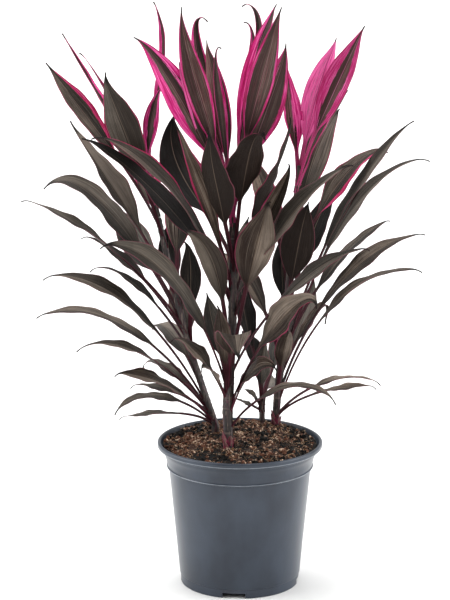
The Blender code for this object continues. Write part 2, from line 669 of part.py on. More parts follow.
def main():
    """Build the pot, the soil, the four shoots and the three crowns."""
    clear_scene()
    group = new_collection(COLLECTION)
    plastic = new_material("pot_plastic", (0.11, 0.13, 0.15), 0.35)
    peat = new_material("soil_peat", (0.09, 0.045, 0.025), 0.95)
    dark = new_material("dark_leaf", (0.10, 0.075, 0.065), 0.45)
    pink = new_material("pink_leaf", (0.60, 0.03, 0.20), 0.45)
    smooth_angle = 30.0
    pot = make_pot(group, plastic)
    smooth(pot, smooth_angle)
    soil = make_soil(group, peat)
    smooth(soil, smooth_angle)
    shoots = (
        ("centre_shoot", CENTRE_STEM, CENTRE_LEAVES, dark),
        ("left_shoot", LEFT_STEM, LEFT_LEAVES, dark),
        ("right_shoot", RIGHT_STEM, RIGHT_LEAVES, dark),
        ("back_shoot", BACK_STEM, BACK_LEAVES, dark),
        ("centre_crown", crown_stub(CENTRE_STEM), CENTRE_CROWN, pink),
        ("left_crown", crown_stub(LEFT_STEM), LEFT_CROWN, pink),
        ("right_crown", crown_stub(RIGHT_STEM), RIGHT_CROWN, pink),
    )
    for name, rows, leaves, material in shoots:
        shoot = make_shoot(name, rows, leaves, group, material)
        smooth(shoot, smooth_angle)


if __name__ == "__main__":
    main()
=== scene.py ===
"""Looks of a ti plant of four leafy shoots in a plastic nursery pot, in metres, with +Z up.

The pot's axis is the Z axis and its base rests on z = 0. The plant is seen from -Y in its front view. The
fine leaves, stems, soil and pot follow the same rows of numbers as the solids that they stand for.
"""

import json
import logging
import math
from dataclasses import dataclass, field
from enum import Enum
from typing import Sequence

import bmesh
import bpy
import numpy as np
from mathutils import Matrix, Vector, noise

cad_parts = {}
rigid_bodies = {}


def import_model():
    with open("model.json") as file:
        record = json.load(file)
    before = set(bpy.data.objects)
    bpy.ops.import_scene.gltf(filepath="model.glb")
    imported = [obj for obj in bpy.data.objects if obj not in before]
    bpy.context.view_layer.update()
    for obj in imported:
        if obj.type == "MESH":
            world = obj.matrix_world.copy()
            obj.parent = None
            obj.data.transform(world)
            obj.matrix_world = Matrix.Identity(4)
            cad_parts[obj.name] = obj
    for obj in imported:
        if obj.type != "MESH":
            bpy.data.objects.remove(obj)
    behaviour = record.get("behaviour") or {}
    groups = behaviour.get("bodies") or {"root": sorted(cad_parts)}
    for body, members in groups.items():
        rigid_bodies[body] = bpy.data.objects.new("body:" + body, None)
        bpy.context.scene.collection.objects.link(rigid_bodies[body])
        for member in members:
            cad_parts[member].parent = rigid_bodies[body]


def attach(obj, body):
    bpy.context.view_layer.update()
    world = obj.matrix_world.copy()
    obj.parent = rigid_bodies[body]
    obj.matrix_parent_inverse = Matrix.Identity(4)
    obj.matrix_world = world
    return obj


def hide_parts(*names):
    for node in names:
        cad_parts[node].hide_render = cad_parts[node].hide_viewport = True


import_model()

LOG = logging.getLogger("ti_plant")
GOLDEN_TURN = 2.4
SEED = 20

Pair = tuple[float, float]
Row = tuple[float, float, float, float]
Triple = tuple[float, float, float]
Faces = list[tuple[int, ...]]
Socket = bpy.types.NodeSocket
Material = bpy.types.Material
Thing = bpy.types.Object
Value = Socket | float | tuple


def paint(code: str) -> Row:
    """Turn a screen colour into the linear colour of a shader.

    Args:
        code: the colour as #rrggbb.

    Returns:
        Its red, green, blue and opacity.
    """
    shares = [int(code[i:i + 2], 16) / 255.0 for i in (1, 3, 5)]
    linear = [s / 12.92 if s <= 0.04045 else ((s + 0.055) / 1.055) ** 2.4 for s in shares]
    return (*linear, 1.0)


def unit(vectors: np.ndarray) -> np.ndarray:
    """Return vectors at length one."""
    return vectors / np.linalg.norm(vectors, axis=-1, keepdims=True)


def put(name: str, data: bpy.types.ID | None) -> Thing:
    """Put a new object with its mesh, lamp or camera in the scene."""
    thing = bpy.data.objects.new(name, data)
    bpy.context.scene.collection.objects.link(thing)
    return thing


def mesh_of(name: str, shape: bmesh.types.BMesh) -> bpy.types.Mesh:
    """Turn a worked shape into a mesh, and free the shape.

    Args:
        name: the mesh's name.
        shape: the worked shape.

    Returns:
        The mesh.
    """
    mesh = bpy.data.meshes.new(name)
    shape.to_mesh(mesh)
    shape.free()
    return mesh


class NodeBench:
    """Makes one material and wires its nodes."""

    def __init__(self, name: str) -> None:
        """Start a material of this name with a plain shader."""
        self.material = bpy.data.materials.new(name)
        self.material.use_nodes = True
        self.tree = self.material.node_tree
        self.shader = self.tree.nodes["Principled BSDF"]

    def feed(self, node: bpy.types.Node, inputs: dict[int | str, Value]) -> None:
        """Fill inputs of a node.

        Args:
            node: the node.
            inputs: for each input, by its name or number, the socket to link or the value to set.
        """
        for key, value in inputs.items():
            if isinstance(value, Socket):
                self.tree.links.new(value, node.inputs[key])
            else:
                node.inputs[key].default_value = value

    def node(self, kind: str, inputs: dict[int | str, Value],
             **settings: str | bool) -> bpy.types.bpy_prop_collection:
        """Add a node.

        Args:
            kind: the last part of Blender's name for it.
            inputs: what its inputs get.
            settings: what its own properties are set to.

        Returns:
            Its outputs.
        """
        node = self.tree.nodes.new("ShaderNode" + kind)
        for name, value in settings.items():
            setattr(node, name, value)
        self.feed(node, inputs)
        return node.outputs

    def math(self, operation: str, first: Value, second: Value = 0.0, clamp: bool = False) -> Socket:
        """Add a sum of one or two numbers, kept between 0 and 1 if it is clamped."""
        return self.node("Math", {0: first, 1: second}, operation=operation, use_clamp=clamp)[0]

    def times(self, first: Value, second: Value) -> Socket:
        """Multiply two numbers."""
        return self.math("MULTIPLY", first, second)

    def ease(self, value: Value, low: float, high: float) -> Socket:
        """Ease a number from 0 at its low value to 1 at its high one."""
        return self.node("MapRange", {0: value, 1: low, 2: high}, interpolation_type="SMOOTHSTEP")[0]

    def span(self, value: Value, low: float, high: float) -> Socket:
        """Spread a number between 0 and 1 over another range."""
        return self.node("MapRange", {0: value, 3: low, 4: high})[0]

    def mix(self, share: Value, first: Value, second: Value) -> Socket:
        """Mix two colours, with this share of the second one."""
        return self.node("Mix", {0: share, 6: first, 7: second}, data_type="RGBA")[2]

    def layer(self, under: Value, code: str, share: Value, strength: float = 1.0) -> Socket:
        """Lay a screen colour over another colour.

        Args:
            under: the colour that it lies on.
            code: the screen colour.
            share: where it lies, from 0 to 1.
            strength: how much it covers there.

        Returns:
            The colour's socket.
        """
        return self.mix(share if strength == 1.0 else self.times(share, strength), under, paint(code))

    def ramp(self, value: Value, *stops: tuple[float, str]) -> Socket:
        """Turn a number into a colour by a row of stops.

        Args:
            value: the number.
            stops: each stop's number and its screen colour.

        Returns:
            The colour's socket.
        """
        node = self.tree.nodes.new("ShaderNodeValToRGB")
        elements = node.color_ramp.elements
        while len(elements) < len(stops):
            elements.new(0.5)
        for element, (position, code) in zip(elements, stops):
            element.position = position
            element.color = paint(code)
        self.feed(node, {0: value})
        return node.outputs[0]

    def attribute(self, name: str) -> bpy.types.bpy_prop_collection:
        """Read one of the mesh's own values."""
        return self.node("Attribute", {}, attribute_name=name)

    def parts(self, vector: Socket) -> Sequence[Socket]:
        """Take a vector apart in its three numbers."""
        return self.node("SeparateXYZ", {0: vector})

    def vector(self, x: Value, y: Value, z: Value) -> Socket:
        """Put three numbers together in a vector."""
        return self.node("CombineXYZ", {0: x, 1: y, 2: z})[0]

    def place(self, stretch: Triple = (1.0, 1.0, 1.0)) -> Socket:
        """Read the place on the object, stretched along its axes."""
        source = self.node("TexCoord", {})["Object"]
        return self.node("Mapping", {0: source, "Scale": stretch})[0]

    def noise(self, vector: Socket, scale: float, detail: float = 3.0, roughness: float = 0.55) -> Socket:
        """Add cloudy noise between 0 and 1.

        Args:
            vector: where it is read.
            scale: how many clouds there are to a unit.
            detail: how many finer layers it has.
            roughness: how strong the finer layers are.

        Returns:
            The noise's socket.
        """
        inputs = {"Vector": vector, "Scale": scale, "Detail": detail, "Roughness": roughness}
        return self.node("TexNoise", inputs)[0]

    def cells(self, vector: Socket, scale: float) -> Socket:
        """Add a pattern of uneven cells and read the distance from their middles."""
        return self.node("TexVoronoi", {"Vector": vector, "Scale": scale})["Distance"]

    def bump(self, height: Value, strength: float, distance: float, under: Socket | None = None) -> Socket:
        """Add fine relief.

        Args:
            height: the relief, between 0 and 1.
            strength: how much of it shows.
            distance: its depth in metres.
            under: the relief that it lies on.

        Returns:
            The bent normal's socket.
        """
        inputs = {"Strength": strength, "Distance": distance, "Height": height}
        if under is not None:
            inputs["Normal"] = under
        return self.node("Bump", inputs)[0]

    def finish(self, colour: Value, roughness: Value, normal: Socket, shine: float = 0.5) -> Material:
        """Wire the shader up.

        Args:
            colour: the base colour.
            roughness: the roughness.
            normal: the bent normal.
            shine: the level of mirror light.

        Returns:
            The finished material.
        """
        self.feed(self.shader, {"Base Color": colour, "Roughness": roughness, "Normal": normal,
                                "Specular IOR Level": shine})
        return self.material


@dataclass(frozen=True)
class LeafFinish:
    """Waxy leaf skin: streaked dark blade, bright margins, wine stalk and a dry tip.

    The mesh says where each point lies on its leaf (leaf_place: across, along, underside), how it is marked
    (leaf_marks: left margin, right margin, blush) and how light it is (leaf_tone).

    dark, brown, grey, cool, hair: colours of the blade and its lightest veins; hair also paints highlights.
    margin, margin_pale, margin_deep, hem: colours of the bright margins, and of a painted highlight on the very
    edge elsewhere.
    stalk, stalk_bright: colours of the stalk.
    dry_start: share of the blade's length at which it turns dry.
    """

    name: str
    dark: str
    brown: str
    grey: str
    margin: str
    margin_pale: str
    margin_deep: str
    stalk: str
    stalk_bright: str
    vein_and_highlight: str
    edge_margin_and_highlight: str
    cool: str
    dry_start: float
    gloss: tuple[float, float] = (0.46, 0.66)
    shine: float = 0.12

    def blade(self, bench: NodeBench, across: Socket, along: Socket, tone: Socket, seed: Socket,
              noises: Sequence[Socket]) -> Socket:
        """Colour the dark part of the blade.

        Args:
            bench: where the material is made.
            across: place from one edge of the blade to the other, from -1 to 1.
            along: place along the blade, from 0 to 1.
            tone: how light the leaf is.
            seed: a number of the leaf's own.
            noises: broad bands, streaks, veins and clouds.

        Returns:
            The colour's socket.
        """
        bands, streaks, veins, clouds = noises
        blade = bench.ramp(streaks, (0.41, self.dark), (0.50, self.brown), (0.59, self.grey))
        greyed = bench.times(bench.ease(tone, 0.1, 1.0), bench.ease(bands, 0.36, 0.56))
        blade = bench.layer(blade, self.grey, greyed)
        blade = bench.layer(blade, self.brown, bench.ease(clouds, 0.42, 0.58), 0.60)
        vein = bench.mix(bench.ease(tone, 0.2, 0.8), paint(self.dark), paint(self.brown))
        blade = bench.mix(bench.times(bench.ease(veins, 0.50, 0.58), 0.75), blade, vein)
        blade = bench.layer(blade, self.vein_and_highlight, bench.ease(veins, 0.46, 0.38), 0.40)
        own = bench.noise(bench.vector(seed, 0.0, 0.0), 1.0, 0.0)
        cooled = bench.times(bench.ease(own, 0.46, 0.54), bench.span(bands, 0.15, 0.70))
        blade = bench.layer(blade, self.cool, cooled)
        # Painted shade on one half of each blade, picked per leaf, and on lighter leaves a painted highlight on
        # the other half.
        turned_half = bench.times(bench.math("SUBTRACT", bench.math("GREATER_THAN", own, 0.5), 0.5), across)
        shaded = bench.ease(turned_half, 0.0, 0.06)
        blade = bench.layer(blade, self.dark, bench.times(shaded, bench.span(bands, 0.35, 0.90)))
        lit = bench.times(bench.ease(turned_half, 0.0, -0.10), bench.ease(tone, 0.55, 1.0))
        blade = bench.layer(blade, self.vein_and_highlight, bench.times(lit, bench.span(bands, 0.1, 0.5)))
        # Painted shade: leaves of low tone, such as NIGHT and SHADED, darken towards black, partly their own
        # dark colour and partly painted shade for leaves in the plant's shade.
        blade = bench.layer(blade, self.dark, bench.ease(tone, 0.38, 0.0), 0.90)
        return bench.layer(blade, self.dark, bench.ease(along, 0.40, 0.02), 0.6)

    def material(self) -> Material:
        """Make the material.

        Returns:
            The material of a leaf.
        """
        bench = NodeBench(self.name)
        across, along, under = bench.parts(bench.attribute("leaf_place")["Vector"])
        rim_left, rim_right, blush = bench.parts(bench.attribute("leaf_marks")["Vector"])
        tone = bench.attribute("leaf_tone")["Fac"]
        seed = bench.times(tone, 37.0)

        def drawn_out(width: float, length: float, detail: float, rough: float) -> Socket:
            """Return a noise drawn out along the leaf, at a fineness across it and along it."""
            drawn = bench.vector(bench.times(across, width), bench.times(along, length), seed)
            return bench.noise(drawn, 2.0, detail, rough)

        bands = drawn_out(1.5, 1.3, 4.0, 0.60)
        streaks = drawn_out(4.0, 1.5, 6.0, 0.72)
        veins = drawn_out(12.0, 0.7, 3.0, 0.6)
        clouds = bench.noise(bench.place(), 24.0, 3.0)
        blade = self.blade(bench, across, along, tone, seed, (bands, streaks, veins, clouds))

        pink = bench.ramp(streaks, (0.38, self.margin_deep), (0.49, self.margin), (0.62, self.margin_pale))
        pink = bench.layer(pink, self.margin_deep, bench.ease(veins, 0.50, 0.60), 0.6)
        paled = bench.times(bench.ease(blush, 0.26, 0.60), bench.span(streaks, -0.9, 2.2))
        pink = bench.layer(pink, self.margin_pale, paled)
        ragged = bench.times(bench.span(bands, 0.20, 1.80), bench.span(streaks, 0.45, 1.55))
        reaches = [bench.math("SUBTRACT", bench.times(rim, ragged), bench.math(sense, 1.0, across))
                   for rim, sense in ((rim_left, "ADD"), (rim_right, "SUBTRACT"))]
        margin = bench.ease(bench.math("MAXIMUM", *reaches), -0.02, 0.04)
        flush = bench.ease(bench.math("SUBTRACT", bench.math("ADD", blush, 0.14), streaks), 0.0, 0.20)
        colour = bench.mix(bench.math("MAXIMUM", margin, flush), blade, pink)
        # Painted highlight: a thin lighter line along the very edge where there is no margin; on a margin the
        # edge turns deep pink.
        outermost = bench.ease(bench.math("SUBTRACT", 1.0, bench.math("ABSOLUTE", across)), 0.07, 0.02)
        edge_margin_and_highlight = bench.mix(margin, paint(self.edge_margin_and_highlight), paint(self.margin_deep))
        colour = bench.mix(bench.times(outermost, bench.span(streaks, 0.4, 0.9)), colour, edge_margin_and_highlight)

        # Painted shade and painted highlight: a dark line down the midrib's groove and a light line just beside
        # it, pale pink on blushed leaves.
        rib = bench.ease(bench.math("ABSOLUTE", bench.math("ADD", across, 0.02)), 0.045, 0.012)
        rib_highlight = bench.ease(bench.math("ABSOLUTE", bench.math("SUBTRACT", across, 0.05)), 0.035, 0.010)
        colour = bench.layer(colour, self.dark, rib, 0.65)
        rib_highlight_colour = bench.mix(bench.ease(blush, 0.05, 0.4), paint(self.grey), paint(self.margin_pale))
        colour = bench.mix(bench.times(rib_highlight, bench.span(bands, 0.1, 0.9)), colour, rib_highlight_colour)
        colour = bench.mix(bench.times(under, 0.6), colour, bench.mix(0.5, colour, paint(self.brown)))
        stalk_light = bench.mix(bench.ease(streaks, 0.40, 0.70), paint(self.stalk), paint(self.stalk_bright))
        stalk = bench.mix(bench.math("ADD", 0.50, blush, clamp=True), paint(self.stalk), stalk_light)
        colour = bench.mix(bench.ease(along, 0.06, -0.05), colour, stalk)
        dry = bench.ease(along, self.dry_start, 0.5 + self.dry_start / 2)
        colour = bench.layer(colour, self.dark, dry, 0.92)

        roughness = bench.span(bench.times(bench.math("ADD", clouds, streaks), 0.5), *self.gloss)
        relief = bench.bump(bands, 0.6, 0.0030, bench.bump(veins, 0.8, 0.0010))
        skin = bench.bump(bench.noise(bench.place(), 900.0, 2.0), 0.12, 0.0003, relief)
        return bench.finish(colour, roughness, skin, self.shine)


@dataclass(frozen=True)
class StemFinish:
    """Young stem wrapped in old sheaths: dark skin, lengthwise streaks and pale scars."""

    name: str
    dark: str
    streak: str
    scar: str
    flush: str

    def material(self) -> Material:
        """Make the material.

        Returns:
            The material of a stem.
        """
        bench = NodeBench(self.name)
        streaks = bench.noise(bench.place((1.0, 1.0, 0.12)), 380.0)
        bands = bench.noise(bench.place((0.15, 0.15, 1.0)), 170.0, 2.0)
        edges = bench.noise(bench.place((1.0, 1.0, 0.05)), 620.0, 2.0)
        colour = bench.mix(bench.ease(streaks, 0.42, 0.68), paint(self.dark), paint(self.streak))
        colour = bench.layer(colour, self.scar, bench.ease(bands, 0.6, 0.75), 0.5)
        colour = bench.layer(colour, self.scar, bench.ease(edges, 0.56, 0.66), 0.8)
        colour = bench.layer(colour, self.flush, bench.ease(edges, 0.42, 0.34), 0.5)
        return bench.finish(colour, bench.span(bands, 0.45, 0.7), bench.bump(streaks, 0.6, 0.0008))


@dataclass(frozen=True)
class PlasticFinish:
    """Injection-moulded pot plastic: faint clouds, fine grain, a soft gloss and pale lines of painted
    highlight.
    """

    name: str
    body: str
    light: str
    shade: str
    highlight_line_colour: str
    highlight_heights: tuple[float, ...]
    highlight_width: float = 0.0007
    shine: float = 0.36

    def material(self) -> Material:
        """Make the material.

        Returns:
            The material of the pot.
        """
        bench = NodeBench(self.name)
        clouds = bench.noise(bench.place((1.0, 1.0, 0.6)), 22.0, 4.0)
        grain = bench.noise(bench.place(), 650.0, 2.0)
        highlight_breakup = bench.span(bench.noise(bench.place(), 140.0), 0.1, 0.9)
        colour = bench.ramp(clouds, (0.3, self.shade), (0.5, self.body), (0.72, self.light))
        height = bench.parts(bench.place())[2]
        # Painted highlight: pale lines at the given heights, broken up by noise.
        for edge in self.highlight_heights:
            away = bench.math("ABSOLUTE", bench.math("SUBTRACT", height, edge))
            line = bench.ease(away, self.highlight_width, 0.3 * self.highlight_width)
            colour = bench.layer(colour, self.highlight_line_colour, bench.times(line, highlight_breakup))
        relief = bench.bump(clouds, 0.15, 0.002, bench.bump(grain, 0.10, 0.0004))
        return bench.finish(colour, bench.span(clouds, 0.24, 0.36), relief, self.shine)


@dataclass(frozen=True)
class SoilFinish:
    """Moist peat: near-black painted shade for the hollows, brown crumbs and tan flecks of fibre; fibres darken
    to brown.
    """

    name: str
    dark_and_hollow_shade: str
    crumb: str
    fleck: str
    fleck_start: float
    shine: float = 0.25

    def material(self) -> Material:
        """Make the material.

        Returns:
            The material of the soil, its crumbs or its fibres.
        """
        bench = NodeBench(self.name)
        damp = bench.noise(bench.place(), 22.0, 2.0)
        broad = bench.noise(bench.place(), 85.0, 4.0, 0.65)
        fine = bench.noise(bench.place(), 260.0, 4.0, 0.7)
        tone = bench.attribute("crumb_tone")["Fac"]
        lumps = bench.math("ADD", bench.times(bench.math("ADD", broad, damp), 0.5), bench.times(tone, 0.14))
        # Painted shade: the ground and the crumbs turn near-black where the lumps are low, for shade in the
        # hollows; the fibres turn darker brown there.
        colour = bench.mix(bench.ease(lumps, 0.53, 0.60), paint(self.dark_and_hollow_shade), paint(self.crumb))
        flecks = bench.ease(fine, self.fleck_start, self.fleck_start + 0.10)
        flecks = bench.times(flecks, bench.ease(lumps, 0.46, 0.58))
        colour = bench.layer(colour, self.fleck, bench.times(flecks, bench.span(tone, 0.45, 1.0)))
        grit = bench.cells(bench.place(), 330.0)
        relief = bench.bump(grit, 0.7, 0.0016, bench.bump(fine, 1.0, 0.0020))
        return bench.finish(colour, bench.span(fine, 0.72, 0.95), relief, self.shine)


@dataclass(frozen=True)
class FloorFinish:
    """Pale matt floor of a studio."""

    name: str = "studio_floor"
    colour: str = "#e2e2e1"
    cloud: str = "#e6e6e5"

    def material(self) -> Material:
        """Make the material.

        Returns:
            The floor's material.
        """
        bench = NodeBench(self.name)
        clouds = bench.noise(bench.place(), 1.5, 2.0)
        colour = bench.mix(bench.times(clouds, 0.2), paint(self.colour), paint(self.cloud))
        return bench.finish(colour, bench.span(clouds, 0.75, 0.85), bench.bump(clouds, 0.02, 0.001))


@dataclass(frozen=True)
class Marks:
    """How a leaf is marked.

    left, right: width of each bright margin, as a share of half the blade.
    blush: how much of the blade between them is bright, from 0 to 1.
    tone: how light and grey the dark part is, from 0 to 1.
    """

    left: float
    right: float
    blush: float
    tone: float


class Look(Enum):
    """The kinds of leaf on this plant, from the oldest to the youngest; the low tones of NIGHT and SHADED are
    partly painted shade.
    """

    NIGHT = Marks(0.05, 0.00, 0.00, 0.00)
    SHADED = Marks(0.00, 0.00, 0.00, 0.12)
    PLAIN = Marks(0.00, 0.00, 0.00, 0.40)
    GREY = Marks(0.00, 0.00, 0.00, 0.70)
    PALE = Marks(0.03, 0.00, 0.00, 1.00)
    THIN_LEFT = Marks(0.10, 0.00, 0.04, 0.60)
    THIN_RIGHT = Marks(0.00, 0.10, 0.04, 0.60)
    THIN_BOTH = Marks(0.09, 0.05, 0.04, 0.50)
    EDGED = Marks(0.26, 0.22, 0.14, 0.45)
    EDGED_GREY = Marks(0.14, 0.05, 0.04, 0.85)
    DARK_CENTRE = Marks(0.60, 0.52, 0.12, 0.55)
    BRIGHT_LEFT = Marks(0.40, 0.08, 0.10, 0.60)
    WIDE_LEFT = Marks(0.62, 0.34, 0.15, 0.60)
    WIDE_RIGHT = Marks(0.24, 0.62, 0.20, 0.45)
    WIDE_BOTH = Marks(0.48, 0.48, 0.22, 0.45)
    STREAKED = Marks(0.95, 0.40, 0.56, 0.55)
    RIBBED = Marks(0.62, 0.56, 0.30, 0.60)
    DEEP = Marks(0.85, 0.20, 0.22, 0.50)
    BUDDING = Marks(0.06, 0.06, 0.40, 0.80)


@dataclass(frozen=True)
class Leaf:
    """One leaf, in the upright plane through its foot on the stem.

    foot: height of its foot on the stem's axis.
    heading: compass direction of that plane in degrees, from +X towards +Y.
    middle, tip: reach from the foot and height above the ground.
    width: widest span of the blade.
    roll: turn of the blade about its own midrib, in degrees.
    fold: rise of each half of the blade from the midrib, in degrees.
    stalk: share of the length that is stalk.
    look: how it is marked.
    """

    foot: float
    heading: float
    middle: Pair
    tip: Pair
    width: float
    roll: float
    fold: float
    stalk: float
    look: Look


@dataclass
class Patch:
    """Points and faces of one small form, with what its material reads from it."""

    points: np.ndarray
    faces: Faces
    values: dict[str, np.ndarray] = field(default_factory=dict)


def join_patches(name: str, patches: Sequence[Patch], material: Material, sharp_angle: float = 55.0) -> Thing:
    """Join patches in one object, shaded smooth with its sharp edges kept.

    Args:
        name: the object's name.
        patches: the forms to join, all with the same kinds of values.
        material: the object's material.
        sharp_angle: the angle, in degrees, above which an edge stays sharp.

    Returns:
        The new object.
    """
    faces: Faces = []
    start = 0
    for patch in patches:
        faces.extend(tuple(start + index for index in face) for face in patch.faces)
        start += len(patch.points)
    mesh = bpy.data.meshes.new(name)
    mesh.from_pydata(np.concatenate([patch.points for patch in patches]).tolist(), [], faces)
    for key, sample in patches[0].values.items():
        data = np.concatenate([patch.values[key] for patch in patches]).astype(np.float32)
        kind, channel = ("FLOAT_VECTOR", "vector") if sample.ndim == 2 else ("FLOAT", "value")
        mesh.attributes.new(key, kind, "POINT").data.foreach_set(channel, data.ravel())
    mesh.shade_smooth()
    mesh.set_sharp_from_angle(angle=math.radians(sharp_angle))
    mesh.materials.append(material)
    return put(name, mesh)


def seat(piece: Thing, node: str) -> None:
    """Fix a piece to the plant, in the place of a node.

    Args:
        piece: the object.
        node: the solid that it stands for.
    """
    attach(piece, "root")
    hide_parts(node)
    LOG.info("%s: %d points, stands for %s", piece.name, len(piece.data.vertices), node)


def skin_faces(rings: int, corners: int) -> Faces:
    """Return the faces of a closed tube of equal rings.

    Args:
        rings: number of rings.
        corners: number of points in each ring.

    Returns:
        Faces as rows of point numbers.
    """
    faces: Faces = []
    for ring in range(rings - 1):
        for corner in range(corners):
            here, after = ring * corners + corner, ring * corners + (corner + 1) % corners
            faces.append((here, after, after + corners, here + corners))
    faces.append(tuple(reversed(range(corners))))
    faces.append(tuple((rings - 1) * corners + corner for corner in range(corners)))
    return faces


def leaf_values(over: np.ndarray, along: np.ndarray, look: Look, tone_shift: float) -> dict[str, np.ndarray]:
    """Note for each point of a leaf where it lies and how the leaf is marked.

    Args:
        over: places across, from -1 to 1; the leaf's rings have these on top and again, backwards, below.
        along: place of each ring along the leaf.
        look: how the leaf is marked.
        tone_shift: what is added to its tone.

    Returns:
        The values that the leaf's material reads.
    """
    count = len(over)
    place = np.zeros((len(along), 2 * count, 3))
    place[:, :, 0] = np.concatenate([over, over[::-1]])
    place[:, :, 1] = along[:, None]
    place[:, count:, 2] = 1.0
    total = len(along) * 2 * count
    marks = look.value
    return {
        "leaf_place": place.reshape(-1, 3),
        "leaf_marks": np.tile((marks.left, marks.right, marks.blush), (total, 1)),
        "leaf_tone": np.full(total, marks.tone + tone_shift),
    }


@dataclass(frozen=True)
class Stem:
    """A stem through rows of (height, x, y, radius), with ring scars spaced along it.

    ripples: waves of the skin, as (height, count round the stem, turns with height).
    """

    rows: tuple[Row, ...]
    sides: int = 30
    ring_step: float = 0.0016
    tangent_reach: float = 0.015
    slimness: float = 0.94
    scar_height: float = 0.0005
    scar_pitch: float = 0.0075
    scar_stray: Pair = (0.0006, 900.0)
    ripples: tuple[Triple, ...] = ((0.00035, 5.0, 60.0), (0.0002, 11.0, -35.0))

    def point(self, height: float) -> np.ndarray:
        """Return the point of the stem's axis at a height, straight on past its top."""
        heights = [row[0] for row in self.rows]
        if height <= heights[-1]:
            x, y = (np.interp(height, heights, [row[axis] for row in self.rows]) for axis in (1, 2))
            return np.array([x, y, height])
        last, before = np.array(self.rows[-1][:3]), np.array(self.rows[-2][:3])
        slope = (last[1:] - before[1:]) / (last[0] - before[0])
        x, y = last[1:] + slope * (height - last[0])
        return np.array([x, y, height])

    def direction(self, height: float) -> np.ndarray:
        """Return the direction of the stem's axis at a height."""
        return unit(self.point(height + self.tangent_reach) - self.point(height - self.tangent_reach))

    def radius(self, height: float) -> float:
        """Return the stem's radius at a height."""
        return float(np.interp(height, [row[0] for row in self.rows], [row[3] for row in self.rows]))

    def patch(self, bottom: float) -> Patch:
        """Build the stem from a height to its top.

        Args:
            bottom: the height it starts at.

        Returns:
            The stem's patch.
        """
        turn = np.linspace(0.0, math.tau, self.sides, endpoint=False)
        stray, stray_turns = self.scar_stray
        rings = []
        for height in np.arange(bottom, self.rows[-1][0], self.ring_step):
            scar = ((height + stray * math.sin(stray_turns * height)) % self.scar_pitch) / self.scar_pitch
            ridges = sum(rise * np.sin(count * turn + turns * height) for rise, count, turns in self.ripples)
            radius = self.radius(height) * self.slimness + self.scar_height * (1.0 - scar) ** 3 + ridges
            x, y, z = self.point(height)
            ring = [x + radius * np.cos(turn), y + radius * np.sin(turn), np.full(self.sides, z)]
            rings.append(np.stack(ring, axis=1))
        return Patch(np.concatenate(rings), skin_faces(len(rings), self.sides))

    def onward(self, length: float = 0.050, taper: float = 0.55, gap: float = 0.0003) -> "Stem":
        """Return the short growing stem of a crown, on the top of this one.

        Args:
            length: its length.
            taper: its top radius as a share of its foot's.
            gap: the clearance between the two.

        Returns:
            The growing stem.
        """
        height, _, _, radius = self.rows[-1]
        bottom, top = height + gap, height + gap + length
        foot, tip = self.point(bottom), self.point(top)
        return Stem(((bottom, foot[0], foot[1], radius), (top, tip[0], tip[1], radius * taper)))


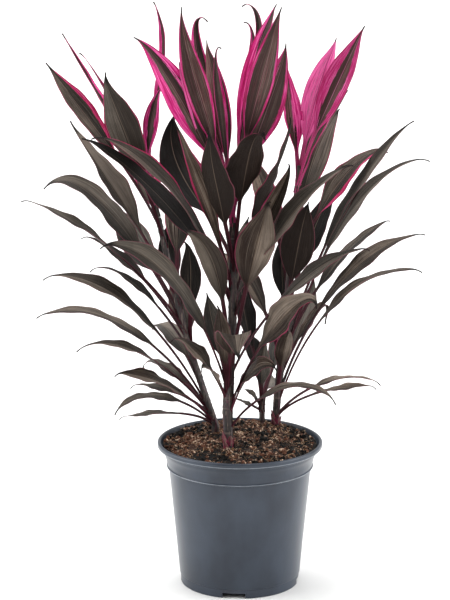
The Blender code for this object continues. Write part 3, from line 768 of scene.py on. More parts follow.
@dataclass(frozen=True)
class LeafForm:
    """The form shared by all leaves: a channelled stalk that opens into a waved, pointed blade.

    Lengths are in metres, angles in degrees. A start is the share of the blade's length at which something sets
    in, and a span the share over which it grows. The two of the roll are shares of the stalk's length.

    thinned_at_foot: how far the blade is thinned where it leaves the stalk, from 0 to 1.
    middle_shares: least and greatest share of the midrib that may lie below its middle point.
    hook_phase, tone_phase: how a leaf's hook and tone follow from its phase.
    crowding: above 1, the blade's sections lie closer together towards its tip.
    """

    stalk_width: float = 0.0063
    sheath_extra_width: float = 0.0036
    stalk_thickness: float = 0.0020
    blade_thickness: float = 0.0006
    edge_thickness: float = 0.0004
    thinned_at_foot: float = 0.3
    thinning_span: float = 0.12
    tip_width: float = 0.0026
    tip_taper: float = 0.5
    stalk_fold: float = 25.0
    opening_span: float = 0.09
    roll_start: float = 0.3
    roll_span: float = 0.9
    blade_peak: float = 0.42
    blade_taper: float = 1.38
    full_width: float = 0.045
    wave_height: float = 0.0034
    wave_turns: float = 9.0
    wave_lag: float = 2.1
    wave_power: float = 1.6
    frill_height: float = 0.0010
    frill_turns: float = 31.0
    start_lean: float = 0.7
    start_pull: float = 0.42
    middle_shares: Pair = (0.3, 0.68)
    tangent_step: float = 0.012
    hook_start: float = 0.84
    hook_reach: float = 0.0045
    hook_phase: Pair = (2.3, 1.0)
    dry_start: float = 0.92
    dry_thickness: float = 0.0012
    nod_reach: float = 0.0045
    rib_width: float = 0.0011
    rib_height: float = 0.0006
    channel_power: float = 1.35
    tone_spread: float = 0.10
    tone_phase: float = 5.1
    route_points: int = 200
    stalk_stations: int = 11
    blade_stations: int = 36
    crowding: float = 1.15
    across: tuple[float, ...] = (-1.0, -0.94, -0.80, -0.60, -0.40, -0.20, -0.07, 0.0,
                                 0.07, 0.20, 0.40, 0.60, 0.80, 0.94, 1.0)

    def route(self, leaf: Leaf, stem: Stem) -> tuple[np.ndarray, np.ndarray]:
        """Lay a leaf's midrib from its foot through its middle to its tip.

        Args:
            leaf: the leaf.
            stem: the stem that it grows from.

        Returns:
            Points along the midrib, and the level direction it heads in.
        """
        heading = math.radians(leaf.heading)
        outward = np.array([math.cos(heading), math.sin(heading), 0.0])
        root = stem.point(leaf.foot)
        base = root * (1.0, 1.0, 0.0)
        middle = base + outward * leaf.middle[0] + (0.0, 0.0, leaf.middle[1])
        tip = base + outward * leaf.tip[0] + (0.0, 0.0, leaf.tip[1])
        start = unit(stem.direction(leaf.foot) + self.start_lean * unit(middle - root))
        lower, upper = np.linalg.norm(middle - root), np.linalg.norm(tip - middle)
        first = root + start * self.start_pull * lower
        low, high = self.middle_shares
        t = min(max(lower / (lower + upper), low), high)
        u = 1.0 - t
        second = (middle - u ** 3 * root - 3 * u * u * t * first - t ** 3 * tip) / (3 * u * t * t)
        share = np.linspace(0.0, 1.0, self.route_points)[:, None]
        rest = 1.0 - share
        points = rest ** 3 * root + 3 * rest ** 2 * share * first + 3 * rest * share ** 2 * second
        return points + share ** 3 * tip, outward

    def blade_span(self, t: np.ndarray) -> np.ndarray:
        """Return the blade's width at shares of its length, 1 at the widest."""
        inside = np.clip(t, 0.0, 1.0)
        return inside / self.blade_peak * ((1.0 - inside) / (1.0 - self.blade_peak)) ** self.blade_taper

    def half_width(self, leaf: Leaf, shares: np.ndarray, t: np.ndarray, dried: np.ndarray) -> np.ndarray:
        """Work out half the width of the stalk and the blade.

        Args:
            leaf: the leaf.
            shares: places along the whole leaf.
            t: the same places along the blade, below 0 on the stalk.
            dried: how dry the leaf is there.

        Returns:
            Half the width at each place.
        """
        sheath = self.sheath_extra_width * np.clip(1.0 - 2.0 * shares / leaf.stalk, 0.0, 1.0) ** 2
        stalk = (self.stalk_width + sheath) * np.clip(1.0 - np.clip(t, 0.0, 1.0), 0.0, 1.0)
        width = np.hypot(stalk, leaf.width * self.blade_span(t))
        return np.maximum(width, self.tip_width * (1.0 - self.tip_taper * dried)) / 2

    def patch(self, leaf: Leaf, stem: Stem, phase: float) -> Patch:
        """Build one leaf with both faces.

        Args:
            leaf: the leaf.
            stem: the stem that it grows from.
            phase: where its edge waves start.

        Returns:
            The leaf's patch.
        """
        route, outward = self.route(leaf, stem)
        travelled = np.concatenate([[0.0], np.cumsum(np.linalg.norm(np.diff(route, axis=0), axis=1))])
        travelled /= travelled[-1]
        stalk_shares = np.linspace(0.0, leaf.stalk, self.stalk_stations, endpoint=False)
        blade = 1.0 - (1.0 - np.linspace(0.0, 1.0, self.blade_stations)) ** self.crowding
        shares = np.concatenate([stalk_shares, leaf.stalk + (1.0 - leaf.stalk) * blade])
        t = (shares - leaf.stalk) / (1.0 - leaf.stalk)

        def at(share: np.ndarray) -> np.ndarray:
            """Return points of the midrib at shares of its length."""
            return np.stack([np.interp(share, travelled, route[:, axis]) for axis in range(3)], axis=1)

        def after(start: float) -> np.ndarray:
            """Return how far each place lies from a start to the tip, from 0 to 1."""
            return np.clip((t - start) / (1.0 - start), 0.0, 1.0)

        step = self.tangent_step
        tangent = unit(at(np.clip(shares + step, 0, 1)) - at(np.clip(shares - step, 0, 1)))
        normal = unit(np.cross(tangent, np.array([-outward[1], outward[0], 0.0])))
        side = unit(np.cross(normal, tangent))
        rolled = np.clip((shares - self.roll_start * leaf.stalk) / (self.roll_span * leaf.stalk), 0.0, 1.0)
        turn = math.radians(leaf.roll) * rolled[:, None]
        cosine, sine = np.cos(turn), np.sin(turn)
        side, normal = side * cosine + normal * sine, normal * cosine - side * sine

        dried = after(self.dry_start)
        half = self.half_width(leaf, shares, t, dried)[:, None]
        openness = np.clip(t / self.opening_span, 0.0, 1.0)[:, None]
        fold = np.radians(self.stalk_fold + (leaf.fold - self.stalk_fold) * openness)
        over = np.array(self.across)[None, :]
        distance = over * half
        lag = np.where(over > 0.0, self.wave_lag, 0.0)
        size = self.blade_span(t)[:, None] * leaf.width / self.full_width
        wave = self.wave_height * size * np.sin(self.wave_turns * t[:, None] + phase + lag)
        frill = self.frill_height * size * np.sin(self.frill_turns * t[:, None] + 3.0 * phase + 2.0 * lag)
        lift = half * np.sin(fold) * np.abs(over) ** self.channel_power
        lift = lift + wave * np.abs(over) ** self.wave_power + frill * over ** 4
        rib = np.exp(-(distance / self.rib_width) ** 2) * np.clip(1.0 - t[:, None], 0.0, 1.0) * openness
        thinned = np.clip(t / self.thinning_span + self.thinned_at_foot, 0, 1)[:, None]
        thick = self.stalk_thickness + (self.blade_thickness - self.stalk_thickness) * thinned
        body = (self.edge_thickness + (thick - self.edge_thickness) * (1.0 - over ** 2)) / 2
        body = body + self.dry_thickness / 2 * dried[:, None]
        top = lift + body - 0.5 * self.rib_height * rib
        bottom = lift - body - self.rib_height * rib

        turns, start = self.hook_phase
        hook = self.hook_reach * math.sin(turns * phase + start) * after(self.hook_start) ** 2
        nod = self.nod_reach * (1.0 - abs(tangent[-1, 2])) * dried ** 2
        spine = at(shares) + side * hook[:, None] - nod[:, None] * (0.0, 0.0, 1.0)
        centre = spine[:, None, :] + side[:, None, :] * (distance * np.cos(fold))[:, :, None]
        upper, lower = (centre + normal[:, None, :] * rise[:, :, None] for rise in (top, bottom))
        points = np.concatenate([upper, lower[:, ::-1, :]], axis=1)
        values = leaf_values(over[0], np.where(t < 0.0, t * 0.5, t), leaf.look,
                             self.tone_spread * math.sin(self.tone_phase * phase))
        return Patch(points.reshape(-1, 3), skin_faces(len(shares), 2 * len(self.across)), values)


@dataclass(frozen=True)
class ScaleRow:
    """Pointed sheath scales that hug a stem, rising round it.

    bottom, top: heights of the lowest and highest scale.
    count: how many there are.
    length, width: size of one scale.
    first_turn: where the first one sits, in radians round the stem.
    tip_width: half the width of its tip.
    sink, stand_off: how far it lies inside the stem's skin and outside it.
    flare, bulge: how far it leans away at its tip and swells in its middle.
    place: where on a leaf its look is taken from, as (start, length).
    """

    bottom: float
    top: float
    count: int
    length: float
    width: float
    first_turn: float = 4.2
    tip_width: float = 0.0004
    sink: float = 0.0003
    stand_off: float = 0.0005
    flare: float = 0.0022
    bulge: float = 0.0004
    point_power: float = 2.2
    place: Pair = (0.1, 0.75)
    sections: int = 9
    corners: int = 7
    look: Look = Look.BUDDING

    def patches(self, stem: Stem) -> list[Patch]:
        """Build the scales.

        Args:
            stem: the stem that they hug.

        Returns:
            One patch a scale.
        """
        made = []
        along = np.linspace(0.0, 1.0, self.sections)
        over = np.linspace(-1.0, 1.0, self.corners)
        start, extent = self.place
        for index in range(self.count):
            foot = self.bottom + (self.top - self.bottom) * (index / max(self.count - 1, 1))
            facing = GOLDEN_TURN * index + self.first_turn
            rings = []
            for t in along:
                height = foot + self.length * t
                span = self.width / 2 * (1.0 - t ** self.point_power) + self.tip_width
                radius = stem.radius(height) + self.stand_off + self.flare * t ** 2
                centre = stem.point(height)
                angle = facing + over * span / radius
                outer, inner = radius + self.bulge * (1.0 - over ** 2), np.full(len(over), radius - self.sink)
                for r, a in ((outer, angle), (inner[::-1], angle[::-1])):
                    rings.append(np.stack([centre[0] + r * np.cos(a), centre[1] + r * np.sin(a),
                                           np.full(len(over), height)], axis=1))
            values = leaf_values(over, start + extent * along, self.look, 0.0)
            values["leaf_place"][:, 2] = 0.0
            made.append(Patch(np.concatenate(rings), skin_faces(len(along), 2 * len(over)), values))
        return made


@dataclass
class Shoot:
    """A stem with its leaves, in the place of one node."""

    node: str
    slot: str
    stem: Stem
    leaves: tuple[Leaf, ...]
    stem_bottom: float = 0.165
    scales: tuple[ScaleRow, ...] = ()
    form: LeafForm = field(default_factory=LeafForm)

    def build(self, leaf_skin: Material, stem_skin: Material) -> None:
        """Build and dress the leaves and the stem.

        Args:
            leaf_skin: the leaves' material.
            stem_skin: the stem's material.
        """
        patches = [self.form.patch(leaf, self.stem, GOLDEN_TURN * index)
                   for index, leaf in enumerate(self.leaves)]
        for row in self.scales:
            patches.extend(row.patches(self.stem))
        seat(join_patches(self.node + "_leaves", patches, leaf_skin), self.node)
        stem = [self.stem.patch(self.stem_bottom)]
        seat(join_patches(self.node + "_stem", stem, stem_skin), self.node)


def arc(middle: Pair, reach: Pair, turns: Sequence[float]) -> list[Pair]:
    """Return points of an arc, as (radius, height), with its own reach outwards and upwards."""
    return [(middle[0] + reach[0] * math.cos(turn), middle[1] + reach[1] * math.sin(turn)) for turn in turns]


@dataclass(frozen=True)
class Pot:
    """Nursery pot: turned body with a rolled lip, collar, ridge and foot ring, notched and drained.

    waist, ridge, body_top, body_foot: points of (radius, height) down its outside.
    collar: the outside under the lip, as (inwards from the collar's top, down from the lip).
    tuck: radius of the lip's lower edge.
    bead, bead_set: reach of the ridge outwards and upwards, and how far its middle is set in and down.
    notch: size of a notch's block, with its middle notch_sink below half its height.
    drain_cut: length of a drain's cutter and the height of its middle.
    """

    height: float = 0.186
    lip_radius: float = 0.105
    lip_depth: float = 0.0065
    mouth_radius: float = 0.1005
    collar_top_radius: float = 0.100
    collar: tuple[Pair, ...] = ((-0.0003, 0.0), (0.0, 0.0006), (0.0011, 0.0034), (0.0018, 0.0040),
                                (0.0032, 0.0085), (0.0039, 0.0092))
    tuck: float = 0.0012
    waist: Pair = (0.0940, 0.1630)
    ridge: Pair = (0.0925, 0.1545)
    bead: Pair = (0.0014, 0.0012)
    bead_set: float = 0.0004
    bead_turn: float = math.pi / 2.4
    body_top: Pair = (0.0905, 0.1515)
    body_foot: Pair = (0.0770, 0.0127)
    foot_radius: float = 0.0758
    foot_ring_width: float = 0.0050
    wall: float = 0.0022
    floor_underside: float = 0.0060
    floor_top: float = 0.0085
    floor_corner: float = 0.002
    pad_radius: float = 0.0150
    steps: int = 160
    sharp_angle: float = 32.0
    notch: Triple = (0.029, 0.024, 0.018)
    notch_sink: float = 0.01125
    notch_first_angle: float = -96.0
    notches: int = 4
    drain_radius: float = 0.0060
    drain_ring_radius: float = 0.0440
    drain_cut: Pair = (0.03, 0.005)
    drains: int = 8
    # The pale #9aa1a9 lines at heights 0.1542 and 0.1803 are painted highlights on the ridge and the lip.
    finish: PlasticFinish = PlasticFinish(
        "pot_plastic_blue_grey", "#2f3641", "#373f4b", "#282e38", "#9aa1a9", (0.1542, 0.1803))

    def profile(self) -> list[Pair]:
        """Draw the section from the floor's middle up the inside and down the outside.

        Returns:
            Points of (radius, height).
        """
        lip_bottom = self.height - self.lip_depth
        body_top_radius, body_top = self.body_top
        body_foot_radius, body_foot = self.body_foot
        waist_radius, waist = self.waist
        ridge_radius, ridge = self.ridge
        lip_middle = (self.mouth_radius + self.lip_radius) / 2
        lip_half = (self.lip_radius - self.mouth_radius) / 2
        foot_inside = self.foot_radius - self.foot_ring_width
        return [
            (0.0, self.floor_top),
            (body_foot_radius - self.wall - self.floor_corner, self.floor_top),
            (body_foot_radius - self.wall, self.floor_top + self.floor_corner),
            (body_top_radius - self.wall, body_top),
            (waist_radius - self.wall, waist),
            (self.collar_top_radius - self.wall, lip_bottom),
            *arc((lip_middle, self.height - lip_half), (-lip_half, lip_half), np.linspace(0.0, math.pi, 11)),
            *arc((self.lip_radius - self.tuck, lip_bottom + self.tuck), (self.tuck, -self.tuck),
                 np.linspace(0.0, math.pi / 2, 5)),
            *((self.collar_top_radius - inwards, lip_bottom - down) for inwards, down in self.collar),
            (waist_radius, waist),
            (waist_radius - 0.0002, waist - 0.0010),
            (ridge_radius - 0.0002, ridge + 0.0012),
            *arc((ridge_radius - self.bead_set, ridge - self.bead_set), self.bead,
                 np.linspace(self.bead_turn, -self.bead_turn, 9)),
            (body_top_radius + 0.0001, body_top + 0.0006),
            (body_top_radius, body_top),
            (body_foot_radius, body_foot),
            (body_foot_radius - 0.0003, body_foot - 0.0006),
            (self.foot_radius, body_foot - 0.0012),
            (self.foot_radius, 0.0008),
            (self.foot_radius - 0.0006, 0.0),
            (foot_inside, 0.0),
            (foot_inside, self.floor_underside),
            (self.pad_radius, self.floor_underside),
            (self.pad_radius, 0.0),
            (0.0, 0.0),
        ]

    def cutters(self) -> bpy.types.Collection:
        """Make the blocks that cut the notches and the drain holes.

        Returns:
            The collection that holds them.
        """
        group = bpy.data.collections.new("pot_cutters")
        bpy.context.scene.collection.children.link(group)

        def add(name: str, shape: bmesh.types.BMesh, reach: float, angle: float, height: float,
                turn: float) -> None:
            """Put a cutter in the collection."""
            cutter = bpy.data.objects.new(name, mesh_of(name, shape))
            cutter.location = (reach * math.cos(angle), reach * math.sin(angle), height)
            cutter.rotation_euler = (0.0, 0.0, turn)
            group.objects.link(cutter)

        for index in range(self.notches):
            shape = bmesh.new()
            bmesh.ops.create_cube(shape, size=1.0)
            bmesh.ops.scale(shape, vec=self.notch, verts=shape.verts[:])
            angle = math.radians(self.notch_first_angle + 360.0 / self.notches * index)
            add(f"notch_{index + 1}", shape, self.foot_radius - self.foot_ring_width / 2, angle,
                self.notch[2] / 2 - self.notch_sink, angle + math.pi / 2)
        depth, height = self.drain_cut
        for index in range(self.drains):
            shape = bmesh.new()
            bmesh.ops.create_cone(shape, cap_ends=True, segments=32, radius1=self.drain_radius,
                                  radius2=self.drain_radius, depth=depth)
            angle = math.tau * (index + 0.5) / self.drains
            add(f"drain_{index + 1}", shape, self.drain_ring_radius, angle, height, 0.0)
        return group

    def build(self) -> None:
        """Turn the pot, cut it and dress it."""
        profile = self.profile()
        section = bpy.data.meshes.new("pot_section")
        edges = [(index, index + 1) for index in range(len(profile) - 1)]
        section.from_pydata([(radius, 0.0, height) for radius, height in profile], edges, [])
        blank = put("pot_blank", section)
        screw = blank.modifiers.new("turn", "SCREW")
        screw.steps = screw.render_steps = self.steps
        screw.use_merge_vertices = True
        screw.merge_threshold = 0.00001
        group = self.cutters()
        cut = blank.modifiers.new("cut", "BOOLEAN")
        cut.operand_type = "COLLECTION"
        cut.collection = group
        cut.solver = "EXACT"
        body = bpy.data.meshes.new_from_object(blank.evaluated_get(bpy.context.evaluated_depsgraph_get()))
        for thing in [blank, *group.objects]:
            bpy.data.objects.remove(thing, do_unlink=True)
        bpy.data.collections.remove(group)
        body.name = "pot_body"
        body.shade_smooth()
        body.set_sharp_from_angle(angle=math.radians(self.sharp_angle))
        body.materials.clear()
        body.materials.append(self.finish.material())
        seat(put("pot_body", body), "pot")


@dataclass(frozen=True)
class Soil:
    """Peat that fills the pot, with loose crumbs and fibres on its top.

    heap: middle, spread and height of a heap on the dome.
    lumps: waves of the lumps, as (share, two waves of (turns across, turns back, start)).
    grains, clods: height and fineness of the roughness.
    tone_rise: height over the edge at which the ground turns lighter, over which it does, and how much at most.
    crumb_size: least size, range and how rare the large ones are.
    crumb_knobs: size of a crumb's middle skin, height of its knobs and their fineness.
    crumb_lift: how far a crumb's middle stands over the ground, as a share of its size.
    fibre_lift: height of a fibre's ends, and of its middle above them.
    fibre_taper: how much thinner a fibre's ends are than its middle.
    fibre_corners: the turns of its skin's corners.
    """

    pot: Pot
    stems: tuple[Stem, ...]
    edge_height: float = 0.1815
    dome: float = 0.0060
    heap: Row = (0.020, 0.055, 0.035, 0.0060)
    lump_height: float = 0.0042
    lumps: tuple[tuple[float, Triple, Triple], ...] = (
        (0.45, (71.0, 0.0, 1.3), (0.0, 63.0, 0.4)),
        (0.35, (160.0, -87.0, 2.0), (55.0, 142.0, 1.57)),
        (0.20, (310.0, 190.0, 0.0), (-120.0, 270.0, 1.0)),
    )
    grains: tuple[Pair, ...] = ((0.0014, 230.0), (0.0008, 620.0))
    clods: Pair = (0.0030, 110.0)
    edge_calm: int = 8
    clear_radius: float = 0.014
    clear_fade: float = 0.016
    gap: float = 0.0003
    rings: int = 84
    turns: int = 250
    tone_rise: Triple = (0.003, 0.009, 0.9)
    crumbs: int = 1500
    crumb_size: Triple = (0.0008, 0.0034, 2.4)
    crumb_squash: Pair = (0.55, 1.25)
    crumb_knobs: Triple = (0.75, 0.55, 1.3)
    crumb_lift: float = 0.35
    crumb_edge: float = 0.002
    fibres: int = 420
    fibre_length: Pair = (0.003, 0.013)
    fibre_radius: Pair = (0.00018, 0.00045)
    fibre_bend: float = 1.6
    fibre_lift: Pair = (0.0006, 0.0012)
    fibre_taper: float = 0.6
    fibre_corners: Row = (0.0, 1.57, 3.14, 4.71)
    fibre_steps: int = 6
    fibre_edge: float = 0.006
    sharp_angle: float = 80.0
    # The near-black first colours of the ground and the crumbs are painted shade for the hollows.
    ground_finish: SoilFinish = SoilFinish("peat_ground", "#030201", "#38231a", "#cfa88c", 0.54)
    crumb_finish: SoilFinish = SoilFinish("peat_crumbs", "#040201", "#5a3828", "#efd2b6", 0.54)
    fibre_finish: SoilFinish = SoilFinish("peat_fibres", "#4a3020", "#97704e", "#e6cdb0", 0.50)

    def lump(self, x: float, y: float) -> float:
        """Return the height of the lumps over the smooth dome, between -1 and 1."""
        return sum(share * math.prod(math.sin(a * x + b * y + start) for a, b, start in waves)
                   for share, *waves in self.lumps)

    def edge_radius(self, height: float) -> float:
        """Return the soil's radius at a height, a gap inside the pot's wall."""
        wall = (self.pot.body_foot, self.pot.body_top, self.pot.waist,
                (self.pot.collar_top_radius, self.pot.height - self.pot.lip_depth))
        radius = np.interp(height, [point[1] for point in wall], [point[0] for point in wall])
        return float(radius) - self.pot.wall - self.gap

    def top(self, x: float, y: float) -> float:
        """Return the height of the soil's top.

        Args:
            x: place across.
            y: place from front to back.

        Returns:
            The height in metres.
        """
        share = min(math.hypot(x, y) / self.edge_radius(self.edge_height), 1.0)
        nearest = min(math.hypot(x - stem.rows[0][1], y - stem.rows[0][2]) for stem in self.stems)
        rise = min(max((nearest - self.clear_radius) / self.clear_fade, 0.0), 1.0)
        calm = 1.0 - share ** self.edge_calm
        heap_x, heap_y, spread, heap_height = self.heap
        away = ((x - heap_x) ** 2 + (y - heap_y) ** 2) / (2 * spread ** 2)
        smooth_top = self.edge_height + self.dome * (1.0 - share ** 2) + heap_height * calm * math.exp(-away)
        place = Vector((x, y, 0.0))
        grain = sum(height * noise.noise(place * fineness) for height, fineness in self.grains)
        height, fineness = self.clods
        clod = height * (0.5 - abs(noise.noise(place * fineness + Vector((3.0, 1.0, 0.0)))))
        return smooth_top + calm * (self.lump_height * rise * self.lump(x, y) + grain + clod)

    def ground_patch(self) -> Patch:
        """Build the soil's body.

        Returns:
            Its patch.
        """
        rim = self.edge_radius(self.edge_height)
        turn = np.linspace(0.0, math.tau, self.turns, endpoint=False)
        rings = []
        for ring in range(self.rings):
            radius = rim * (ring + 0.25) / (self.rings - 0.75)
            circle = [(radius * math.cos(a), radius * math.sin(a)) for a in turn]
            rings.append([(x, y, self.top(x, y)) for x, y in circle])
        bottom = self.pot.floor_top + self.gap
        for level in (self.pot.waist[1], self.pot.body_top[1], self.pot.body_foot[1], bottom):
            radius = self.edge_radius(level) - self.gap
            rings.append([(radius * math.cos(a), radius * math.sin(a), level) for a in turn])
        points = np.array(rings).reshape(-1, 3)
        faces = [tuple(reversed(face)) for face in skin_faces(len(rings), self.turns)]
        start, span, most = self.tone_rise
        tone = np.clip((points[:, 2] - self.edge_height - start) / span, 0.0, most)
        return Patch(points, faces, {"crumb_tone": tone})

    def scattered(self, chance: np.random.Generator, edge: float) -> Pair:
        """Pick a place on the soil, at least an edge inside its rim."""
        rim = self.edge_radius(self.edge_height) - edge
        reach, angle = rim * math.sqrt(chance.random()), math.tau * chance.random()
        return reach * math.cos(angle), reach * math.sin(angle)

    def crumb_patches(self, chance: np.random.Generator) -> list[Patch]:
        """Build loose crumbs of peat.

        Args:
            chance: the source of chance.

        Returns:
            One patch a crumb.
        """
        shape = bmesh.new()
        bmesh.ops.create_icosphere(shape, subdivisions=2, radius=1.0)
        ball = np.array([vertex.co[:] for vertex in shape.verts])
        faces = [tuple(vertex.index for vertex in face.verts) for face in shape.faces]
        shape.free()
        least, more, rarity = self.crumb_size
        middle, knob, fineness = self.crumb_knobs
        made = []
        for _ in range(self.crumbs):
            x, y = self.scattered(chance, self.crumb_edge)
            size = least + more * chance.random() ** rarity
            squash = chance.uniform(*self.crumb_squash, 3)
            offset = Vector(chance.uniform(0.0, 50.0, 3))
            knobs = np.array([middle + knob * noise.noise(Vector(point) * fineness + offset) for point in ball])
            turned = ball * knobs[:, None] * squash * size
            spin = chance.uniform(0.0, math.tau)
            cosine, sine = math.cos(spin), math.sin(spin)
            points = np.stack([turned[:, 0] * cosine - turned[:, 1] * sine,
                               turned[:, 0] * sine + turned[:, 1] * cosine, turned[:, 2]], axis=1)
            points += (x, y, self.top(x, y) + self.crumb_lift * size)
            made.append(Patch(points, faces, {"crumb_tone": np.full(len(points), chance.random())}))
        return made

    def fibre_patches(self, chance: np.random.Generator) -> list[Patch]:
        """Build strands of peat fibre that lie on the soil.

        Args:
            chance: the source of chance.

        Returns:
            One patch a strand.
        """
        rim = self.edge_radius(self.edge_height) - self.fibre_edge
        low, arch = self.fibre_lift
        made = []
        for _ in range(self.fibres):
            x, y = self.scattered(chance, self.fibre_edge)
            heading, bend = chance.uniform(0.0, math.tau), chance.uniform(-self.fibre_bend, self.fibre_bend)
            length, thick = chance.uniform(*self.fibre_length), chance.uniform(*self.fibre_radius)
            rings = []
            for step in range(self.fibre_steps + 1):
                share = step / self.fibre_steps
                course = heading + bend * share
                x += length / self.fibre_steps * math.cos(course)
                y += length / self.fibre_steps * math.sin(course)
                if math.hypot(x, y) > rim:
                    x, y = x * rim / math.hypot(x, y), y * rim / math.hypot(x, y)
                z = self.top(x, y) + low + arch * math.sin(math.pi * share)
                radius = thick * (1.0 - self.fibre_taper * abs(2.0 * share - 1.0))
                rings.append([(x - radius * math.cos(a) * math.sin(course),
                               y + radius * math.cos(a) * math.cos(course), z + radius * math.sin(a))
                              for a in self.fibre_corners])
            points = np.array(rings).reshape(-1, 3)
            made.append(Patch(points, skin_faces(len(rings), len(self.fibre_corners)),
                              {"crumb_tone": np.full(len(points), chance.random())}))
        return made

    def build(self) -> None:
        """Build and dress the soil, its crumbs and its fibres."""
        chance = np.random.default_rng(SEED)
        for name, patches, finish in (
            ("soil_ground", [self.ground_patch()], self.ground_finish),
            ("soil_crumbs", self.crumb_patches(chance), self.crumb_finish),
            ("soil_fibres", self.fibre_patches(chance), self.fibre_finish),
        ):
            seat(join_patches(name, patches, finish.material(), self.sharp_angle), "soil")


CENTRE_STEM = Stem((
    (0.120, -0.0150, -0.0390, 0.0055),
    (0.200, -0.0150, -0.0390, 0.0055),
    (0.235, -0.0160, -0.0380, 0.0070),
    (0.290, -0.0130, -0.0370, 0.0066),
    (0.350, -0.0100, -0.0360, 0.0056),
    (0.420, -0.0090, -0.0350, 0.0050),
    (0.455, -0.0095, -0.0345, 0.0046),
))
LEFT_STEM = Stem((
    (0.120, -0.0310, 0.0230, 0.0048),
    (0.198, -0.0310, 0.0230, 0.0048),
    (0.225, -0.0400, 0.0230, 0.0048),
    (0.300, -0.0640, 0.0240, 0.0042),
    (0.380, -0.0840, 0.0250, 0.0040),
    (0.470, -0.1030, 0.0260, 0.0038),
))
RIGHT_STEM = Stem((
    (0.120, 0.0470, 0.0600, 0.0048),
    (0.200, 0.0470, 0.0600, 0.0048),
    (0.235, 0.0490, 0.0590, 0.0052),
    (0.300, 0.0560, 0.0580, 0.0046),
    (0.370, 0.0620, 0.0570, 0.0043),
    (0.480, 0.0705, 0.0555, 0.0041),
))
BACK_STEM = Stem((
    (0.120, 0.0290, 0.0590, 0.0036),
    (0.200, 0.0290, 0.0590, 0.0036),
    (0.225, 0.0285, 0.0610, 0.0030),
))

LEFT_LEAVES = (
    Leaf(0.430, -140, (0.070, 0.600), (0.095, 0.660), 0.046, 30, 8, 0.40, Look.THIN_BOTH),
    Leaf(0.445, 165, (0.115, 0.615), (0.150, 0.660), 0.030, -40, 10, 0.46, Look.BRIGHT_LEFT),
    Leaf(0.355, -170, (0.105, 0.545), (0.135, 0.595), 0.044, -32, 22, 0.38, Look.PALE),
    Leaf(0.320, 172, (0.125, 0.500), (0.180, 0.500), 0.044, -22, 10, 0.42, Look.GREY),
    Leaf(0.320, -176, (0.140, 0.465), (0.205, 0.495), 0.030, -4, 10, 0.45, Look.GREY),
    Leaf(0.325, 128, (0.120, 0.435), (0.155, 0.465), 0.042, -50, 12, 0.42, Look.PLAIN),
    Leaf(0.320, 100, (0.135, 0.400), (0.100, 0.445), 0.030, -10, 10, 0.42, Look.SHADED),
    Leaf(0.305, 176, (0.090, 0.420), (0.135, 0.445), 0.028, -8, 10, 0.42, Look.PLAIN),
    Leaf(0.285, 60, (-0.005, 0.405), (-0.020, 0.445), 0.028, 10, 10, 0.42, Look.SHADED),
    Leaf(0.205, -178, (0.130, 0.375), (0.215, 0.395), 0.036, -14, 10, 0.44, Look.GREY),
    Leaf(0.285, 168, (0.090, 0.390), (0.135, 0.395), 0.022, 0, 10, 0.42, Look.SHADED),
    Leaf(0.200, 174, (0.125, 0.330), (0.230, 0.335), 0.032, -6, 10, 0.44, Look.GREY),
    Leaf(0.205, -168, (0.120, 0.310), (0.175, 0.305), 0.028, -4, 10, 0.42, Look.GREY),
    Leaf(0.210, 150, (0.080, 0.270), (0.105, 0.260), 0.024, -5, 10, 0.42, Look.PLAIN),
    Leaf(0.195, -160, (0.080, 0.265), (0.135, 0.280), 0.036, -16, 10, 0.38, Look.PALE),
    Leaf(0.205, 158, (0.070, 0.240), (0.115, 0.240), 0.022, -4, 10, 0.40, Look.PLAIN),
    Leaf(0.195, -172, (0.085, 0.240), (0.130, 0.220), 0.028, -6, 10, 0.38, Look.PLAIN),
    Leaf(0.195, 172, (0.085, 0.210), (0.125, 0.205), 0.022, 2, 10, 0.38, Look.PLAIN),
    Leaf(0.260, 105, (0.080, 0.320), (0.150, 0.375), 0.034, 0, 10, 0.38, Look.PLAIN),
    Leaf(0.230, 115, (0.085, 0.285), (0.185, 0.285), 0.034, 0, 10, 0.38, Look.GREY),
    Leaf(0.350, 92, (0.075, 0.455), (0.135, 0.500), 0.036, 0, 10, 0.38, Look.THIN_BOTH),
    Leaf(0.395, 118, (0.080, 0.525), (0.125, 0.580), 0.036, 0, 10, 0.38, Look.BRIGHT_LEFT),
)
LEFT_CROWN = (
    Leaf(0.485, 142, (0.110, 0.635), (0.150, 0.690), 0.016, 10, 25, 0.32, Look.WIDE_BOTH),
    Leaf(0.490, 168, (0.070, 0.640), (0.095, 0.675), 0.012, 10, 25, 0.32, Look.EDGED),
    Leaf(0.520, 60, (0.035, 0.675), (0.010, 0.740), 0.015, -20, 20, 0.32, Look.WIDE_RIGHT),
    Leaf(0.520, 40, (0.005, 0.595), (0.020, 0.635), 0.020, 40, 20, 0.28, Look.DARK_CENTRE),
)
